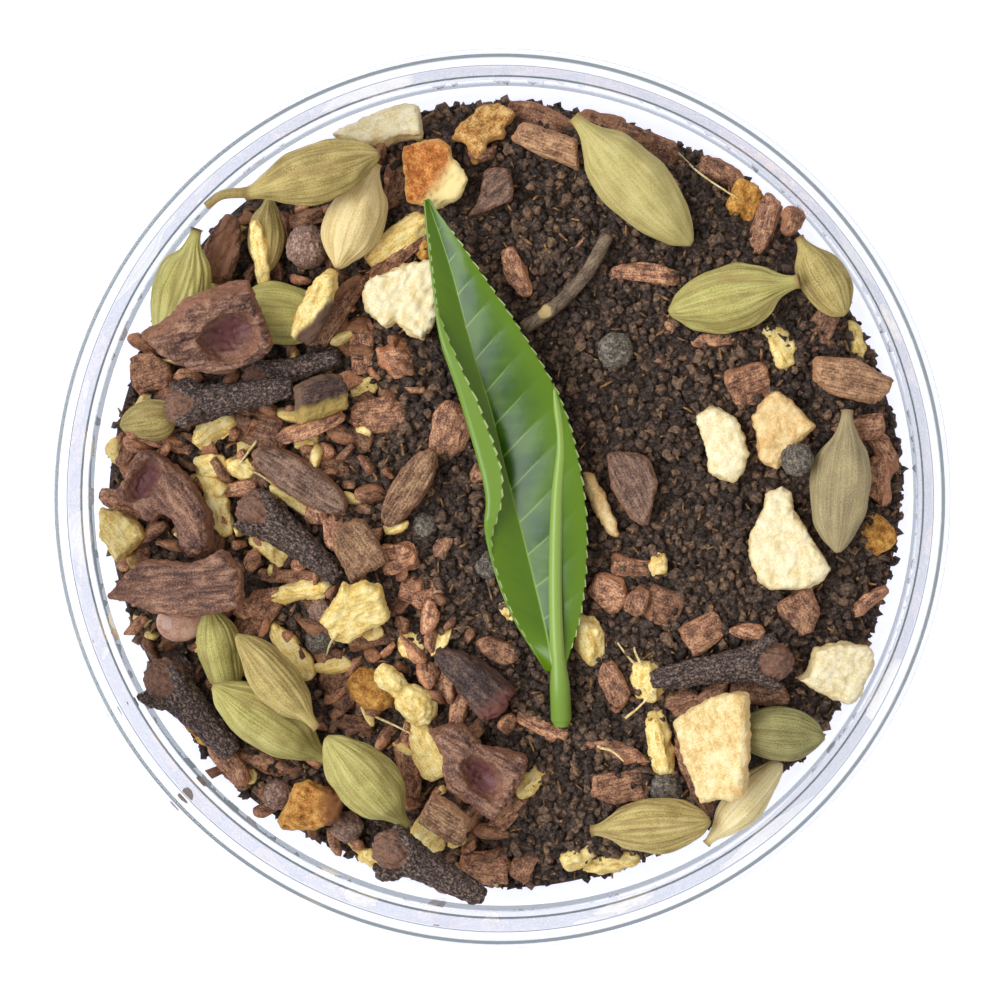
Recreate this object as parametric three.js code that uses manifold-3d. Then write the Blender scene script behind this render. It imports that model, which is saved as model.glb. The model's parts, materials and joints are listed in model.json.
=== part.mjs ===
// A dry masala chai blend in a shallow round glass dish: a bed of rolled black tea, whole and broken
// spices heaped on it, and one fresh tea shoot laid on top.
// Units are millimetres. +Z is up, and the origin is the middle of the dish's foot.

import * as THREE from "three";
import { mergeVertices } from "three/addons/utils/BufferGeometryUtils.js";
import Module from "manifold-3d";

const wasm = await Module();
wasm.setup();

// Driving dimensions

const DISH = {
  radius: 50, // outside, at the rim
  height: 20,
  wall: 2, // glass thickness at the rim
  floor: 2.2, // glass thickness under the blend
  draft: 0.8, // how far the inside narrows from rim to floor
  insideCorner: 1.2, // round between wall and floor
  outsideCorner: 2.6, // round between wall and foot
  sides: 40,
};

const BED = {
  radius: 45.6, // mean radius of the heap's foot
  ragged: 0.5, // how far the foot strays from that
  deepSide: 8.2, // level of the tea where it lies open
  lowSide: 4.6, // level of the tea under the heaped spices
  leftFall: [10, 30], // the level falls between these distances to the left of the middle
  cornerFall: [14, 32], // and between these, towards the front left corner
  slope: 5.5, // width of the heap's sloping edge
  bump: 0.55, // half height of the granules' lumps
  rings: 13, // lumps from the middle to the edge
};

const SHOOT = {
  thickness: 0.45, // leaf blade
  fold: 1.5, // how far the blade's edges stand above its midrib
  curl: 1.3, // how far the left edge turns up
  wave: 0.35, // ripple along the edges
  budRadius: 0.8, // rolled young leaf
  stalkRadius: 1.25,
  steps: 14, // along the blade
  across: 6,
  sag: 0.012, // how sharply it can bend over what it lies on, in mm per mm squared
};

const GAP = 0.3; // clear space between neighbouring pieces
const SEAT = 0.3; // share of its thickness that a small chip sinks into the bed
const CELL = 0.5; // pitch of the height map that pieces are laid on
const SETTLE = {
  lean: THREE.MathUtils.degToRad(30), // most that a piece leans where it lies
  leanStep: THREE.MathUtils.degToRad(3),
  shift: 1.6, // most that it slides from where it was put
  shiftStep: 0.4,
  rounds: 10,
};

// Finishes: colour, roughness

const FINISH = {
  glass_dish: [0xe8f0f0, 0.05],
  tea_bed: [0x2b1d16, 0.9],
  tea_shoot: [0x4f8a26, 0.3],
  cardamom_pod: [0xa3a052, 0.75],
  clove: [0x2f211d, 0.85],
  star_anise: [0x6a3421, 0.6],
  star_anise_seed: [0xb98a72, 0.35],
  allspice_berry: [0x5c3a2c, 0.8],
  peppercorn: [0x33302f, 0.85],
  ginger_slice: [0xe6cf95, 0.85],
  ginger_knob: [0xd9c07a, 0.85],
  peel: [0xc9822c, 0.7],
  bark_chip: [0x7a4a2e, 0.85],
  twig: [0x5a4634, 0.85],
};

// Outlines of the larger flat pieces seen from above, about their own middles.

const OUTLINES = {
  gingerBlock: [
    [-4.2, 0.4], [-4.1, -1.1], [-1.7, -3.1], [-0.5, -2.5], [1.2, -4], [2.5, -4.7], [4.1, -2.2],
    [4.4, 1], [4.2, 4.5], [1.2, 4], [-2.7, 2.6], [-3.9, 1.9],
  ],
  gingerHalfMoon: [
    [-3, 3.4], [-1.6, -1.5], [-1.4, -3.2], [1.2, -4.2], [2.5, -2.8], [2.9, -0.9], [2.5, 1.1],
    [1.6, 3], [0, 4.2], [-1.4, 4.5],
  ],
  gingerDiamond: [
    [-3.5, 1.2], [-2.8, -1.5], [-2.7, -3.7], [-0.6, -4.8], [0.8, -2.6], [3.8, 0.1], [1.8, 2.2],
    [-0.4, 4.3], [-1.6, 3.8],
  ],
  gingerPear: [
    [-0.5, 6.3], [-2.3, 5.5], [-2.5, 3.7], [-4.2, 0.9], [-4.1, -1.9], [-3.2, -4.3], [-1.7, -5.5],
    [1.5, -5.3], [3.7, -4.7], [5, -3.1], [3.2, -0.2], [0.8, 3.7], [0.5, 5.7],
  ],
  gingerByWall: [
    [-2.9, 3], [-3.7, 0], [-5.1, -0.4], [-1.9, -2.2], [1.1, -3.6], [2.6, -2.2], [4, 1.3],
    [3.8, 2.8], [2.8, 3.4], [0, 3.6],
  ],
  gingerSlab: [
    [-5.1, 3], [-4.1, -0.2], [-2.4, -4.5], [-1.7, -6.2], [0.2, -5.5], [2.2, -5.7], [3.4, -4.8],
    [3.9, 0], [3.7, 6.5], [1.9, 6.6], [-1.3, 5.6],
  ],
  gingerFlake: [
    [-4.2, -0.9], [-2.8, -3.2], [-0.9, -4.1], [0.2, -2.8], [3.9, -0.8], [2.9, 3.3], [1.1, 4.1],
    [-0.6, 3.1], [-1.5, 3.9], [-2.6, 1.3],
  ],
  gingerStrip: [
    [-5.2, -1.3], [-1.9, -2.4], [0.6, -2.4], [2.6, -1.6], [5.1, -1.5], [4.7, 2.4], [3.1, 2.5],
    [0.2, 1.7],
  ],
  gingerWedge: [
    [-2.5, 2.8], [-2.4, -0.6], [-0.4, -3.5], [1.1, -2.2], [2.9, -0.4], [2.2, 0.9], [0.2, 2.3],
  ],
  peelSquare: [
    [-3.2, 3.2], [-3, 0.3], [-2.8, -3.1], [0.5, -3.8], [3.1, -2.7], [4.4, -0.6], [2.3, 1.8],
    [2.2, 3.2], [1, 3.9],
  ],
  peelLace: [
    [-3.8, -1.1], [-2.2, -1.9], [-1.8, -3.7], [-1, -4.1], [0.1, -1.7], [2.2, -0.9], [1.9, -0.1],
    [3.4, 1.5], [2.4, 2.6], [1.6, 3.1], [-1.2, 2.4],
  ],
  peelLump: [
    [-3.9, -1.7], [-3.2, -2.6], [0.2, -2.7], [3, -1.5], [3.9, 1.3], [0.9, 2.4], [-0.4, 3],
    [-1.7, 2.5],
  ],
  barkShard: [
    [-2.9, -3], [2.5, -1.1], [2.4, 1.7], [1.8, 2.6], [0.5, 2.8], [-0.8, 2.4], [-1.6, -1.3],
  ],
  barkBar: [
    [-4.1, 0.4], [-0.6, -1.3], [3.9, -3], [3.5, 0.5], [-1.7, 2.4], [-2.8, 2.5],
  ],
  barkFlap: [
    [-4.7, 0.2], [-2.6, -1.7], [2.6, -2.8], [4.3, -1.6], [4.8, 0], [0.4, 2.4], [-4.4, 2.6],
  ],
  barkShield: [
    [-2.7, 1.7], [-2.4, -0.2], [-0.2, -3.5], [0.9, -4.3], [1.8, -4.3], [2.8, 0.4], [1.9, 3.1],
    [0.6, 4], [-1.9, 4.1], [-3, 3.8],
  ],
  barkPanel: [
    [-3, 1.9], [-3, 0], [-0.9, -4.1], [0.6, -3], [3.5, -1.3], [1.5, 2.2], [0.4, 3.7], [-2.4, 2.8],
  ],
  barkCube: [
    [-3, 1.3], [-2.5, -3], [3.1, -1], [2.9, 1.6], [2.1, 2.8], [-0.1, 2.7],
  ],
  barkTile: [
    [-3.2, 0.1], [-0.2, -2.6], [1.5, -3.5], [3.2, 0.2], [1.1, 2.3], [-1.1, 3.4],
  ],
  aniseBoat: [
    [-7.4, -0.5], [-4.2, -3.2], [-1.8, -4.1], [0.3, -4.6], [2.5, -4.6], [6.6, -2.6], [7.4, -0.8],
    [5.3, 4.1], [4.4, 5.8], [-0.1, 4.7], [-2.7, 3.5], [-4.2, 1.3],
  ],
  aniseArch: [
    [-5.8, 0.4], [-3, -1.7], [-2.2, -3], [0, -1.7], [1.2, -2.4], [2.1, -5.6], [3, -6.7], [4.3, -6.7],
    [5.6, -5.8], [5.2, -1.3], [3, 2.2], [-1.3, 5.4], [-2.9, 5.6],
  ],
  aniseKeel: [
    [-8, -1.2], [-5, -1.8], [-2.8, -2.8], [1.7, -3.5], [7.5, -2.2], [7.5, 2.2], [5.3, 4.3],
    [1.9, 2.6], [-3.2, 3], [-4.8, 2.4],
  ],
  aniseFlare: [
    [-5.8, 4.4], [-4.1, 1.5], [-4.3, -0.4], [-3.7, -2.2], [1.3, -6], [3.2, -4.5], [5.2, -0.2],
    [5.5, 1.5], [0.2, 2.6], [-1.5, 4.9], [-3.2, 5.2],
  ],
  aniseTip: [
    [-4.5, 4], [-3.7, 1.9], [-0.9, -1.7], [1, -4.1], [2.6, -3.5], [4.8, -0.5], [0.4, 3], [-3.2, 4.4],
  ],
};

// Toppings in the order they are laid, lowest first. at is the middle, turn the heading in degrees of
// the piece's head (stalk end of a pod, bud of a clove, beak of star anise), size is length, width and
// thickness. seed varies the ragged pieces. A piece with an outline has no turn of its own, and open is
// the middle, length, width and heading of the hollow in split star anise.

const TOPPINGS = [
  // upper left
  { kind: "cardamom_pod", at: [-26.2, 29.2], turn: 86, size: [10, 4.2, 3.8] },
  { kind: "star_anise", at: [-30.4, 28.6], turn: 75, size: [8.8, 5.2, 4], seed: 3 },
  { kind: "cardamom_pod", at: [-36.4, 25.5], turn: 74, size: [15, 6.8, 5.4] },
  { kind: "cardamom_pod", at: [-25.5, 21.9], turn: 177, size: [12.4, 7, 5.4] },
  { kind: "clove", at: [-23.5, 15.8], turn: 195, size: [12, 3.3, 3.3] },
  { kind: "allspice_berry", at: [-22.2, 28.6], turn: 0, size: [5.5, 5.5, 5.2], seed: 5 },
  { kind: "cardamom_pod", at: [-16.7, 30.8], turn: 70, size: [13, 6.5, 5] },
  { kind: "ginger_slice", at: [-13.3, 41.3], turn: 0, size: [10.5, 5, 2.6], outline: OUTLINES.gingerStrip },
  { kind: "peel", at: [-3.4, 41.9], turn: 0, size: [7.2, 7.2, 2], outline: OUTLINES.peelLace },
  { kind: "peel", at: [-7.5, 36.7], turn: 0, size: [7.6, 7.7, 2.2], outline: OUTLINES.peelSquare },
  { kind: "cardamom_pod", at: [-20.8, 36.2], turn: 197, size: [16, 7.3, 5.8], stalk: 4.4 },
  { kind: "ginger_slice", at: [-20, 22.8], turn: 66, size: [9.6, 4.4, 3], wedge: 0.5, seed: 12 },
  {
    kind: "star_anise", at: [-34.2, 19.6], turn: 0, size: [14.8, 10.4, 4.6],
    outline: OUTLINES.aniseBoat, open: [2.2, 0.2, 7.4, 6.2, 20],
  },
  // left
  { kind: "cardamom_pod", at: [-40.2, 10.1], turn: 10, size: [8, 4.6, 4] },
  { kind: "clove", at: [-31.6, 11.7], turn: 190, size: [15.4, 4.1, 4.1] },
  { kind: "bark_chip", at: [-21.7, 12.1], turn: 0, size: [6.1, 5.8, 2.8], outline: OUTLINES.barkCube },
  { kind: "ginger_slice", at: [-42.4, -4.1], turn: 0, size: [5.4, 6.3, 3.2], outline: OUTLINES.gingerWedge },
  {
    kind: "star_anise", at: [-39.4, 0.7], turn: 0, size: [11.4, 12.3, 4.4],
    outline: OUTLINES.aniseArch, open: [-2.2, 2, 6.4, 3.4, 55],
  },
  { kind: "star_anise_seed", at: [-38.2, -14.3], turn: 10, size: [6.6, 5, 2.6] },
  { kind: "cardamom_pod", at: [-33.2, -16.2], turn: 102, size: [11.6, 5.4, 4.8] },
  { kind: "star_anise", at: [-37.2, -8.9], turn: 0, size: [15.5, 7.8, 4.4], outline: OUTLINES.aniseKeel },
  { kind: "clove", at: [-25.2, -4.4], turn: 141, size: [15, 4.4, 4.4] },
  { kind: "bark_chip", at: [-23.3, 2], turn: -33, size: [13, 4.5, 2.2], oval: true, seed: 24 },
  { kind: "bark_chip", at: [-17.3, -5], turn: 0, size: [6.5, 7.8, 1.9], outline: OUTLINES.barkPanel },
  // lower left
  { kind: "clove", at: [-35, -24.2], turn: 133, size: [14.5, 4.5, 4.5] },
  { kind: "cardamom_pod", at: [-27.6, -26.7], turn: -36, size: [17, 7, 5.4] },
  { kind: "cardamom_pod", at: [-26.1, -22], turn: -49, size: [14.3, 6, 4.6] },
  { kind: "peel", at: [-22.3, -35.5], turn: 0, size: [7.8, 5.7, 3.2], outline: OUTLINES.peelLump },
  { kind: "cardamom_pod", at: [-16.4, -31.4], turn: -51, size: [15, 7.2, 5.8] },
  { kind: "clove", at: [-9.4, -41.9], turn: 151, size: [14.6, 4.2, 4.2] },
  // middle
  { kind: "ginger_slice", at: [-11.4, 22.6], turn: 0, size: [8.6, 9.2, 3.6], outline: OUTLINES.gingerBlock },
  { kind: "bark_chip", at: [-11.6, 0.4], turn: 57, size: [10.7, 4, 2.2], oval: true, seed: 33 },
  { kind: "ginger_slice", at: [-15.6, -11.8], turn: 0, size: [8.1, 8.2, 2.2], outline: OUTLINES.gingerFlake },
  { kind: "ginger_knob", at: [-10.2, -21.2], turn: -43, size: [9.7, 4.5, 4.2], seed: 35 },
  { kind: "star_anise", at: [-1.8, -21.8], turn: 0, size: [9.3, 8.5, 3.8], outline: OUTLINES.aniseTip },
  {
    kind: "star_anise", at: [-2.4, -29.9], turn: 0, size: [11.3, 11.2, 4.4],
    outline: OUTLINES.aniseFlare, open: [0.2, -0.8, 6.6, 3.6, -50],
  },
  { kind: "bark_chip", at: [-5, -35.6], turn: 0, size: [6.4, 6.9, 1.8], outline: OUTLINES.barkTile },
  { kind: "bark_chip", at: [-1.9, 35.3], turn: 0, size: [5.4, 5.8, 1.7], outline: OUTLINES.barkShard },
  { kind: "bark_chip", at: [3.9, 40.6], turn: 0, size: [8, 5.5, 2], outline: OUTLINES.barkBar },
  { kind: "ginger_slice", at: [11.3, -2.3], turn: -66, size: [8.7, 2, 1.5], seed: 41 },
  { kind: "bark_chip", at: [14.2, 1.2], turn: 0, size: [5.8, 8.4, 1.8], outline: OUTLINES.barkShield },
  { kind: "twig", at: [7.8, 23.8], turn: 46, size: [14.5, 1.8, 1.8] },
  // right
  { kind: "cardamom_pod", at: [13.7, 36], turn: 133, size: [20, 8, 5.8] },
  { kind: "cardamom_pod", at: [37.2, 24], turn: 120, size: [10.5, 5.5, 4.2] },
  { kind: "cardamom_pod", at: [27.6, 23.2], turn: 13, size: [15.5, 7.5, 5.6] },
  { kind: "bark_chip", at: [38.6, 13.9], turn: 0, size: [9.5, 5.4, 2.2], outline: OUTLINES.barkFlap },
  { kind: "ginger_slice", at: [32, 8], turn: 0, size: [7.3, 9.1, 2.2], outline: OUTLINES.gingerDiamond },
  { kind: "ginger_slice", at: [26.4, 6.7], turn: 0, size: [5.9, 8.7, 2.4], outline: OUTLINES.gingerHalfMoon },
  { kind: "cardamom_pod", at: [38.7, 0.4], turn: 86, size: [16.5, 6.8, 5.2] },
  { kind: "ginger_slice", at: [32.8, -5], turn: 0, size: [9.2, 11.8, 2.6], outline: OUTLINES.gingerPear },
  { kind: "peppercorn", at: [34.4, 3.6], turn: 0, size: [4.2, 4.2, 3.9], seed: 52 },
  { kind: "cardamom_pod", at: [32.3, -25.8], turn: 175, size: [11.4, 5.7, 4.6] },
  { kind: "cardamom_pod", at: [28.6, -33.8], turn: 226, size: [13, 5, 2.8] },
  { kind: "cardamom_pod", at: [17.8, -38], turn: 186, size: [14, 6.4, 5] },
  { kind: "ginger_slice", at: [37.3, -20.5], turn: 0, size: [9.1, 7.2, 2.8], outline: OUTLINES.gingerByWall },
  { kind: "clove", at: [24.9, -18.9], turn: 9, size: [16.6, 4.1, 4.1] },
  { kind: "ginger_slice", at: [25.6, -29.1], turn: 0, size: [9, 12.8, 2.6], outline: OUTLINES.gingerSlab },
];

// Smaller pieces that are part of the bed's heap: x, y, heading, length, width.

const CHIPS = {
  bark: [
    [4.4, 43.6, -16, 8, 2.8], [11.5, 43, -14, 6.5, 2.4], [17.6, 39.6, -20, 5.3, 4],
    [25, 37.4, -40, 5.4, 2.8], [1.9, 25.6, -65, 6.3, 2.6], [16.5, 25.7, -6, 8.2, 2.4],
    [30.2, 31.2, 82, 7.5, 2.9], [33, 31.4, 70, 3.4, 2.7], [36.4, 19.7, 62, 6.8, 4],
    [28.4, 12.8, 20, 5, 5], [40.2, 8.2, 5, 7, 3.6], [43.6, 5, -68, 5.4, 2.4],
    [42.9, 1.8, -85, 6, 3.4], [34.3, -13, -60, 5, 4.5], [41.8, -12, 40, 5.8, 1.9],
    [18.1, -12.4, -20, 5.2, 4.3], [23, -15.4, 25, 4.8, 3.8], [28, -15.4, -15, 3.9, 2.7],
    [12.3, -10.8, -25, 4.6, 4.2], [14.6, -7.8, -6, 5.2, 2.6], [-5.8, 7.8, 75, 6.8, 4.6],
    [-14, 9.6, 5, 6.4, 4.3], [-16, 17, 92, 7.6, 2.9], [-12, 15.9, 0, 4.6, 4.4],
    [-11.7, -6.9, 12, 4.5, 4.4], [-9.4, -10.9, -18, 5.4, 3.8], [-28.2, 8.4, -12, 6, 5],
    [-40.6, 14.6, 20, 5, 4.4], [-28.4, -13.8, 60, 7.2, 4], [-20.4, 4, -12, 6.2, 3.5],
    [4.7, -26.4, -29, 6.9, 2.2], [-10.9, -31.3, 97, 7.2, 2.6], [0.6, -36.6, 38, 6.3, 2],
    [-1.8, -43, -8, 6.4, 3.8], [2.6, -42.8, 60, 4.4, 2.8], [13, -21.8, -66, 6.2, 2.9],
    [13.6, -29, -18, 7.8, 2.4], [13.5, -33.2, 12, 7, 4.2], [23.3, -23.2, 28, 8, 2.8],
    [29.6, -22.2, -8, 7, 2.9], [-31.8, -30.6, -55, 7, 3], [-18.6, -21.2, 70, 6.6, 5],
    [-17.4, -26, -10, 5.2, 3], [-14.8, -16.3, 12, 6, 2.6], [-12, 35.8, 78, 6, 3.2],
    [21.9, -31.4, -70, 10.5, 1.9],
  ],
  root: [
    [10.1, -16.2, -78, 6.4, 3.2], [16.6, -21, 98, 5, 3.5], [18.2, -28, -78, 7.6, 3],
    [-10, -17, 0, 4, 3.8], [-8.6, -29, -62, 8, 4], [3.7, -32.3, 45, 5.8, 2.3],
    [-7.9, -38.6, 60, 5.5, 5], [-33.3, 7.8, 38, 5.8, 3.6], [-33.8, 3.7, 10, 4, 3],
    [-30.2, 3.5, -20, 3.6, 3], [-32.8, -1.5, -75, 6.6, 2.8], [-23.2, -10.9, 8, 7.7, 2.2],
    [-24.2, -17.8, -58, 8.3, 3], [-11.6, 29.6, 38, 9.2, 3.4], [31.9, 17.4, -65, 6, 3.8],
    [40.4, 17.8, -78, 5.2, 2.3], [12.6, -42.4, 9, 7, 2.3], [8.8, -41.6, 25, 4.3, 2.8],
    [-14.8, -41.8, -20, 3.8, 2.2], [-41.8, -13.8, 60, 3.4, 2.6],
  ],
  peel: [
    [27.7, 33.6, 70, 5.3, 4], [42.6, -4, -44, 5.3, 4.4], [-14.7, -21.7, -30, 5.8, 5.6],
    [-36.4, -25.8, -50, 7.6, 1.9],
  ],
  berry: [
    [13, 16.8, 0, 4.3, 3.8], [-8.8, -3.1, 0, 3.3, 3.1], [-1.4, -7.7, 0, 3.6, 3.3],
    [18.8, -33.2, 0, 4.2, 3.9], [-21, -16.6, 0, 3.5, 3.3], [-21, -13, 0, 2.8, 2.7],
    [-26, -34.5, 0, 3.7, 3.6], [-18, -38.2, 0, 3.8, 3.6],
  ],
};

const CHIP_FORM = {
  bark: { thickness: 1.9, corners: 6, square: 0.7, ragged: 0.1 },
  root: { thickness: 2.2, corners: 6, square: 0.35, ragged: 0.16 },
  peel: { thickness: 1.7, corners: 6, square: 0.45, ragged: 0.22 },
};

// The shoot's outlines seen from above, from the tip to the stalk, and the line of the rolled bud.

const BLADE_LEFT = [
  [-8.5, 33.6], [-7.7, 26], [-6.6, 19], [-3.8, 10.5],
  [-1.2, 1], [-1.3, -5], [1, -12.5], [5.2, -19.6],
];
const MIDRIB = [
  [-8.2, 33.8], [-5.6, 26], [-3.4, 17.5], [-1.1, 10],
  [0.9, 2], [2.6, -4.5], [4.4, -12], [6.2, -19.8],
];
const BLADE_RIGHT = [
  [-7.9, 33.6], [-3, 26.5], [2.5, 18.5], [6.8, 11],
  [9, 3], [9.7, -4.5], [9.1, -12.5], [7.2, -19.6],
];
const BUD = [
  [6, 13], [6.8, 6.5], [6.4, 0], [6.2, -8],
  [6.3, -15], [6.7, -21], [6.9, -26.2],
];

// Small tools

/** A seeded random source, even between 0 and 1. */
function seeded(seed) {
  let state = (seed * 2654435761) >>> 0;
  return () => {
    state = (state + 0x6d2b79f5) >>> 0;
    let mixed = Math.imul(state ^ (state >>> 15), 1 | state);
    mixed = (mixed + Math.imul(mixed ^ (mixed >>> 7), 61 | mixed)) ^ mixed;
    return ((mixed ^ (mixed >>> 14)) >>> 0) / 4294967296;
  };
}

/** Keeps positions only, with shared corners merged, as a boolean needs them. */
function welded(geometry) {
  const bare = geometry.clone();
  for (const name of Object.keys(bare.attributes)) {
    if (name !== "position") bare.deleteAttribute(name);
  }
  return mergeVertices(bare, 1e-4);
}

/** A closed geometry as a solid for booleans. */
function toSolid(geometry) {
  const mesh = welded(geometry);
  return new wasm.Manifold(
    new wasm.Mesh({
      numProp: 3,
      vertProperties: new Float32Array(mesh.attributes.position.array),
      triVerts: new Uint32Array(mesh.index.array),
    }),
  );
}

/** A solid back as a geometry. */
function toGeometry(solid) {
  const mesh = solid.getMesh();
  const geometry = new THREE.BufferGeometry();
  geometry.setAttribute("position", new THREE.BufferAttribute(new Float32Array(mesh.vertProperties), 3));
  geometry.setIndex(new THREE.BufferAttribute(new Uint32Array(mesh.triVerts), 1));
  return geometry;
}

/** The largest shell of a geometry: loose scraps are dropped and sealed hollows filled. */
function largestShell(geometry) {
  const [position, corners] = [geometry.attributes.position, geometry.index.array];
  const owner = Array.from({ length: position.count }, (_, i) => i);
  const root = (i) => {
    while (owner[i] !== i) i = owner[i] = owner[owner[i]];
    return i;
  };
  for (let i = 0; i < corners.length; i += 3) {
    owner[root(corners[i])] = root(corners[i + 1]);
    owner[root(corners[i + 2])] = root(corners[i + 1]);
  }
  const volumes = new Map();
  const [a, b, c] = [0, 1, 2].map(() => new THREE.Vector3());
  for (let i = 0; i < corners.length; i += 3) {
    [a, b, c].forEach((corner, k) => corner.fromBufferAttribute(position, corners[i + k]));
    const shell = root(corners[i]);
    volumes.set(shell, (volumes.get(shell) ?? 0) + a.dot(b.cross(c)) / 6);
  }
  const [largest] = [...volumes].reduce((best, shell) => (shell[1] > best[1] ? shell : best));
  const kept = [];
  for (let i = 0; i < corners.length; i += 3) {
    if (root(corners[i]) === largest) kept.push(corners[i], corners[i + 1], corners[i + 2]);
  }
  return geometry.setIndex(kept);
}

/** Joins closed geometries into one. */
function fuse(...geometries) {
  return toGeometry(geometries.map(toSolid).reduce((whole, piece) => whole.add(piece)));
}

/** Moves every corner of a geometry by a function that changes the point it is given. */
function reshape(geometry, change) {
  const position = geometry.attributes.position;
  const point = new THREE.Vector3();
  for (let i = 0; i < position.count; i++) {
    point.fromBufferAttribute(position, i);
    change(point);
    position.setXYZ(i, point.x, point.y, point.z);
  }
  return geometry;
}

/** A smooth flat curve through points given as pairs. */
function curveThrough(pairs) {
  return new THREE.SplineCurve(pairs.map(([x, y]) => new THREE.Vector2(x, y)));
}

/** A body of revolution along X from half profiles [x, radius], its ends closed on the axis. */
function turned(profile, sides) {
  const points = profile.map(([along, radius]) => new THREE.Vector2(radius, along));
  return welded(new THREE.LatheGeometry(points, sides)).rotateZ(-Math.PI / 2);
}

/** A closed flat outline with ragged corners, between an oval and a rectangle. */
function raggedOutline(length, width, { corners, square, ragged, wedge = 0 }, random) {
  const points = [];
  for (let k = 0; k < corners; k++) {
    const angle = (2 * Math.PI * (k + 0.5 + 0.35 * (random() - 0.5))) / corners;
    const [c, s] = [Math.cos(angle), Math.sin(angle)];
    const boxed = 1 / Math.max(Math.abs(c), Math.abs(s));
    const reach = (1 + square * (boxed - 1)) * (1 - ragged * random());
    const x = (length / 2) * Math.min(1, Math.max(-1, reach * c));
    const y = (width / 2) * Math.min(1, Math.max(-1, reach * s));
    points.push(new THREE.Vector2(x, y * (1 - wedge * (x / length + 0.5))));
  }
  return new THREE.Shape(points);
}

// Spices, each about its own middle, its head along +X

/** A plate with a given or a ragged outline, bent across its width and softened at its edges. */
function plate([length, width, thickness], form, seed, edge, bend) {
  const outline = form.outline
    ? new THREE.Shape(form.outline.map(([x, y]) => new THREE.Vector2(x, y)))
    : raggedOutline(length - 2 * edge, width - 2 * edge, form, seeded(seed));
  const geometry = new THREE.ExtrudeGeometry(outline, {
    depth: thickness - 2 * edge,
    bevelEnabled: edge > 0,
    bevelThickness: edge,
    bevelSize: edge,
    bevelOffset: form.outline ? -edge : 0,
    bevelSegments: 1,
    steps: 1,
  });
  geometry.translate(0, 0, edge - thickness / 2);
  return reshape(geometry, (p) => {
    p.z += bend * (1 - (2 * p.y / width) ** 2);
  });
}

/** Bark: a chip of a rolled quill, arched across its width, or a rounded shaving. */
function barkChip({ size, seed, outline, oval = false }) {
  const form = { outline, corners: oval ? 12 : 9, square: oval ? 0 : 0.75, ragged: oval ? 0.04 : 0.14 };
  return plate(size, form, seed, 0.4, 0.08 * size[1]);
}

/** Dried ginger: a thick, uneven slice, narrower at its head where wedge is given. */
function gingerSlice({ size, seed, outline, wedge = 0 }) {
  return plate(size, { outline, corners: 11, square: 0.5, ragged: 0.2, wedge }, seed, 0.5, 0);
}

/** Dried citrus peel: a thin curled scrap. */
function peelScrap({ size, seed, outline }) {
  return plate(size, { outline }, seed, 0.35, 0.1 * size[1]);
}

/** A round seed or berry with an uneven skin. */
function berry({ size: [length, width, thickness], seed = 1 }) {
  const random = seeded(seed);
  const ball = welded(new THREE.SphereGeometry(0.5, 7, 5));
  return reshape(ball, (p) => p.multiplyScalar(1 - 0.08 * random())).scale(length, width, thickness);
}

/** Fresh-dried ginger root tip: two joined knobs. */
function gingerKnob({ size: [length, width, thickness], seed }) {
  const large = berry({ size: [0.62 * length, width, thickness], seed });
  const small = berry({ size: [0.55 * length, 0.66 * width, 0.75 * thickness], seed: seed + 1 });
  return fuse(large.translate(0.19 * length, 0, 0), small.translate(-0.22 * length, 0, 0));
}

/** Cardamom: a three-sided spindle with a beak at its tip and a short neck at its stalk end. */
function cardamomPod({ size: [length, width, thickness], stalk = 0 }) {
  const profile = curveThrough([
    [-0.5, 0.03], [-0.42, 0.2], [-0.2, 0.45], [0.02, 0.5], [0.22, 0.39], [0.38, 0.15], [0.5, 0.1],
  ]).getPoints(6);
  const points = profile.map((p) => [p.x * length, p.y]);
  const pod = turned([[-length / 2, 0], ...points, [length / 2, 0]], 8);
  reshape(pod, (p) => {
    const lobe = 1 + 0.06 * Math.cos(3 * Math.atan2(p.z, p.y) + Math.PI / 2);
    p.y *= width * lobe;
    p.z *= thickness * lobe;
  });
  if (!stalk) return pod;
  const end = length / 2;
  const line = [[end - 1, 0], [end + 0.5 * stalk, -0.15 * stalk], [end + stalk, 0]];
  return fuse(pod, rod(line, 0.45, 6, 4));
}

/** A round rod along a flat curve through points, with flat ends. */
function rod(pairs, radius, sides, steps) {
  const line = new THREE.CatmullRomCurve3(pairs.map(([x, y]) => new THREE.Vector3(x, y, 0)));
  const section = new THREE.Shape();
  for (let k = 0; k < sides; k++) {
    const angle = (2 * Math.PI * (k + 0.5)) / sides;
    section[k ? "lineTo" : "moveTo"](radius * Math.cos(angle), radius * Math.sin(angle));
  }
  section.closePath();
  return new THREE.ExtrudeGeometry(section, { steps, extrudePath: line, bevelEnabled: false });
}

/** Clove: a tapering stem, four spread calyx lobes and the round unopened bud at its head. */
function clove({ size: [length, width] }) {
  const bud = 0.56 * width;
  const collar = length / 2 - 1.75 * bud;
  const stem = turned(
    [
      [-length / 2, 0], [-length / 2, 0.2 * width], [-0.3 * length, 0.36 * width],
      [collar, 0.5 * width], [collar + 0.5, 0],
    ],
    7,
  );
  const head = new THREE.SphereGeometry(bud, 7, 5).translate(length / 2 - bud, 0, 0);
  const lobes = [];
  for (let k = 0; k < 4; k++) {
    const lobe = new THREE.ConeGeometry(0.26 * width, 0.95 * width, 3);
    lobe.rotateZ(-Math.PI / 3.2).translate(collar + 0.18 * width, 0.52 * width, 0);
    lobes.push(lobe.rotateX((Math.PI / 2) * (k + 0.5)));
  }
  return fuse(stem, head, ...lobes);
}

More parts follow.
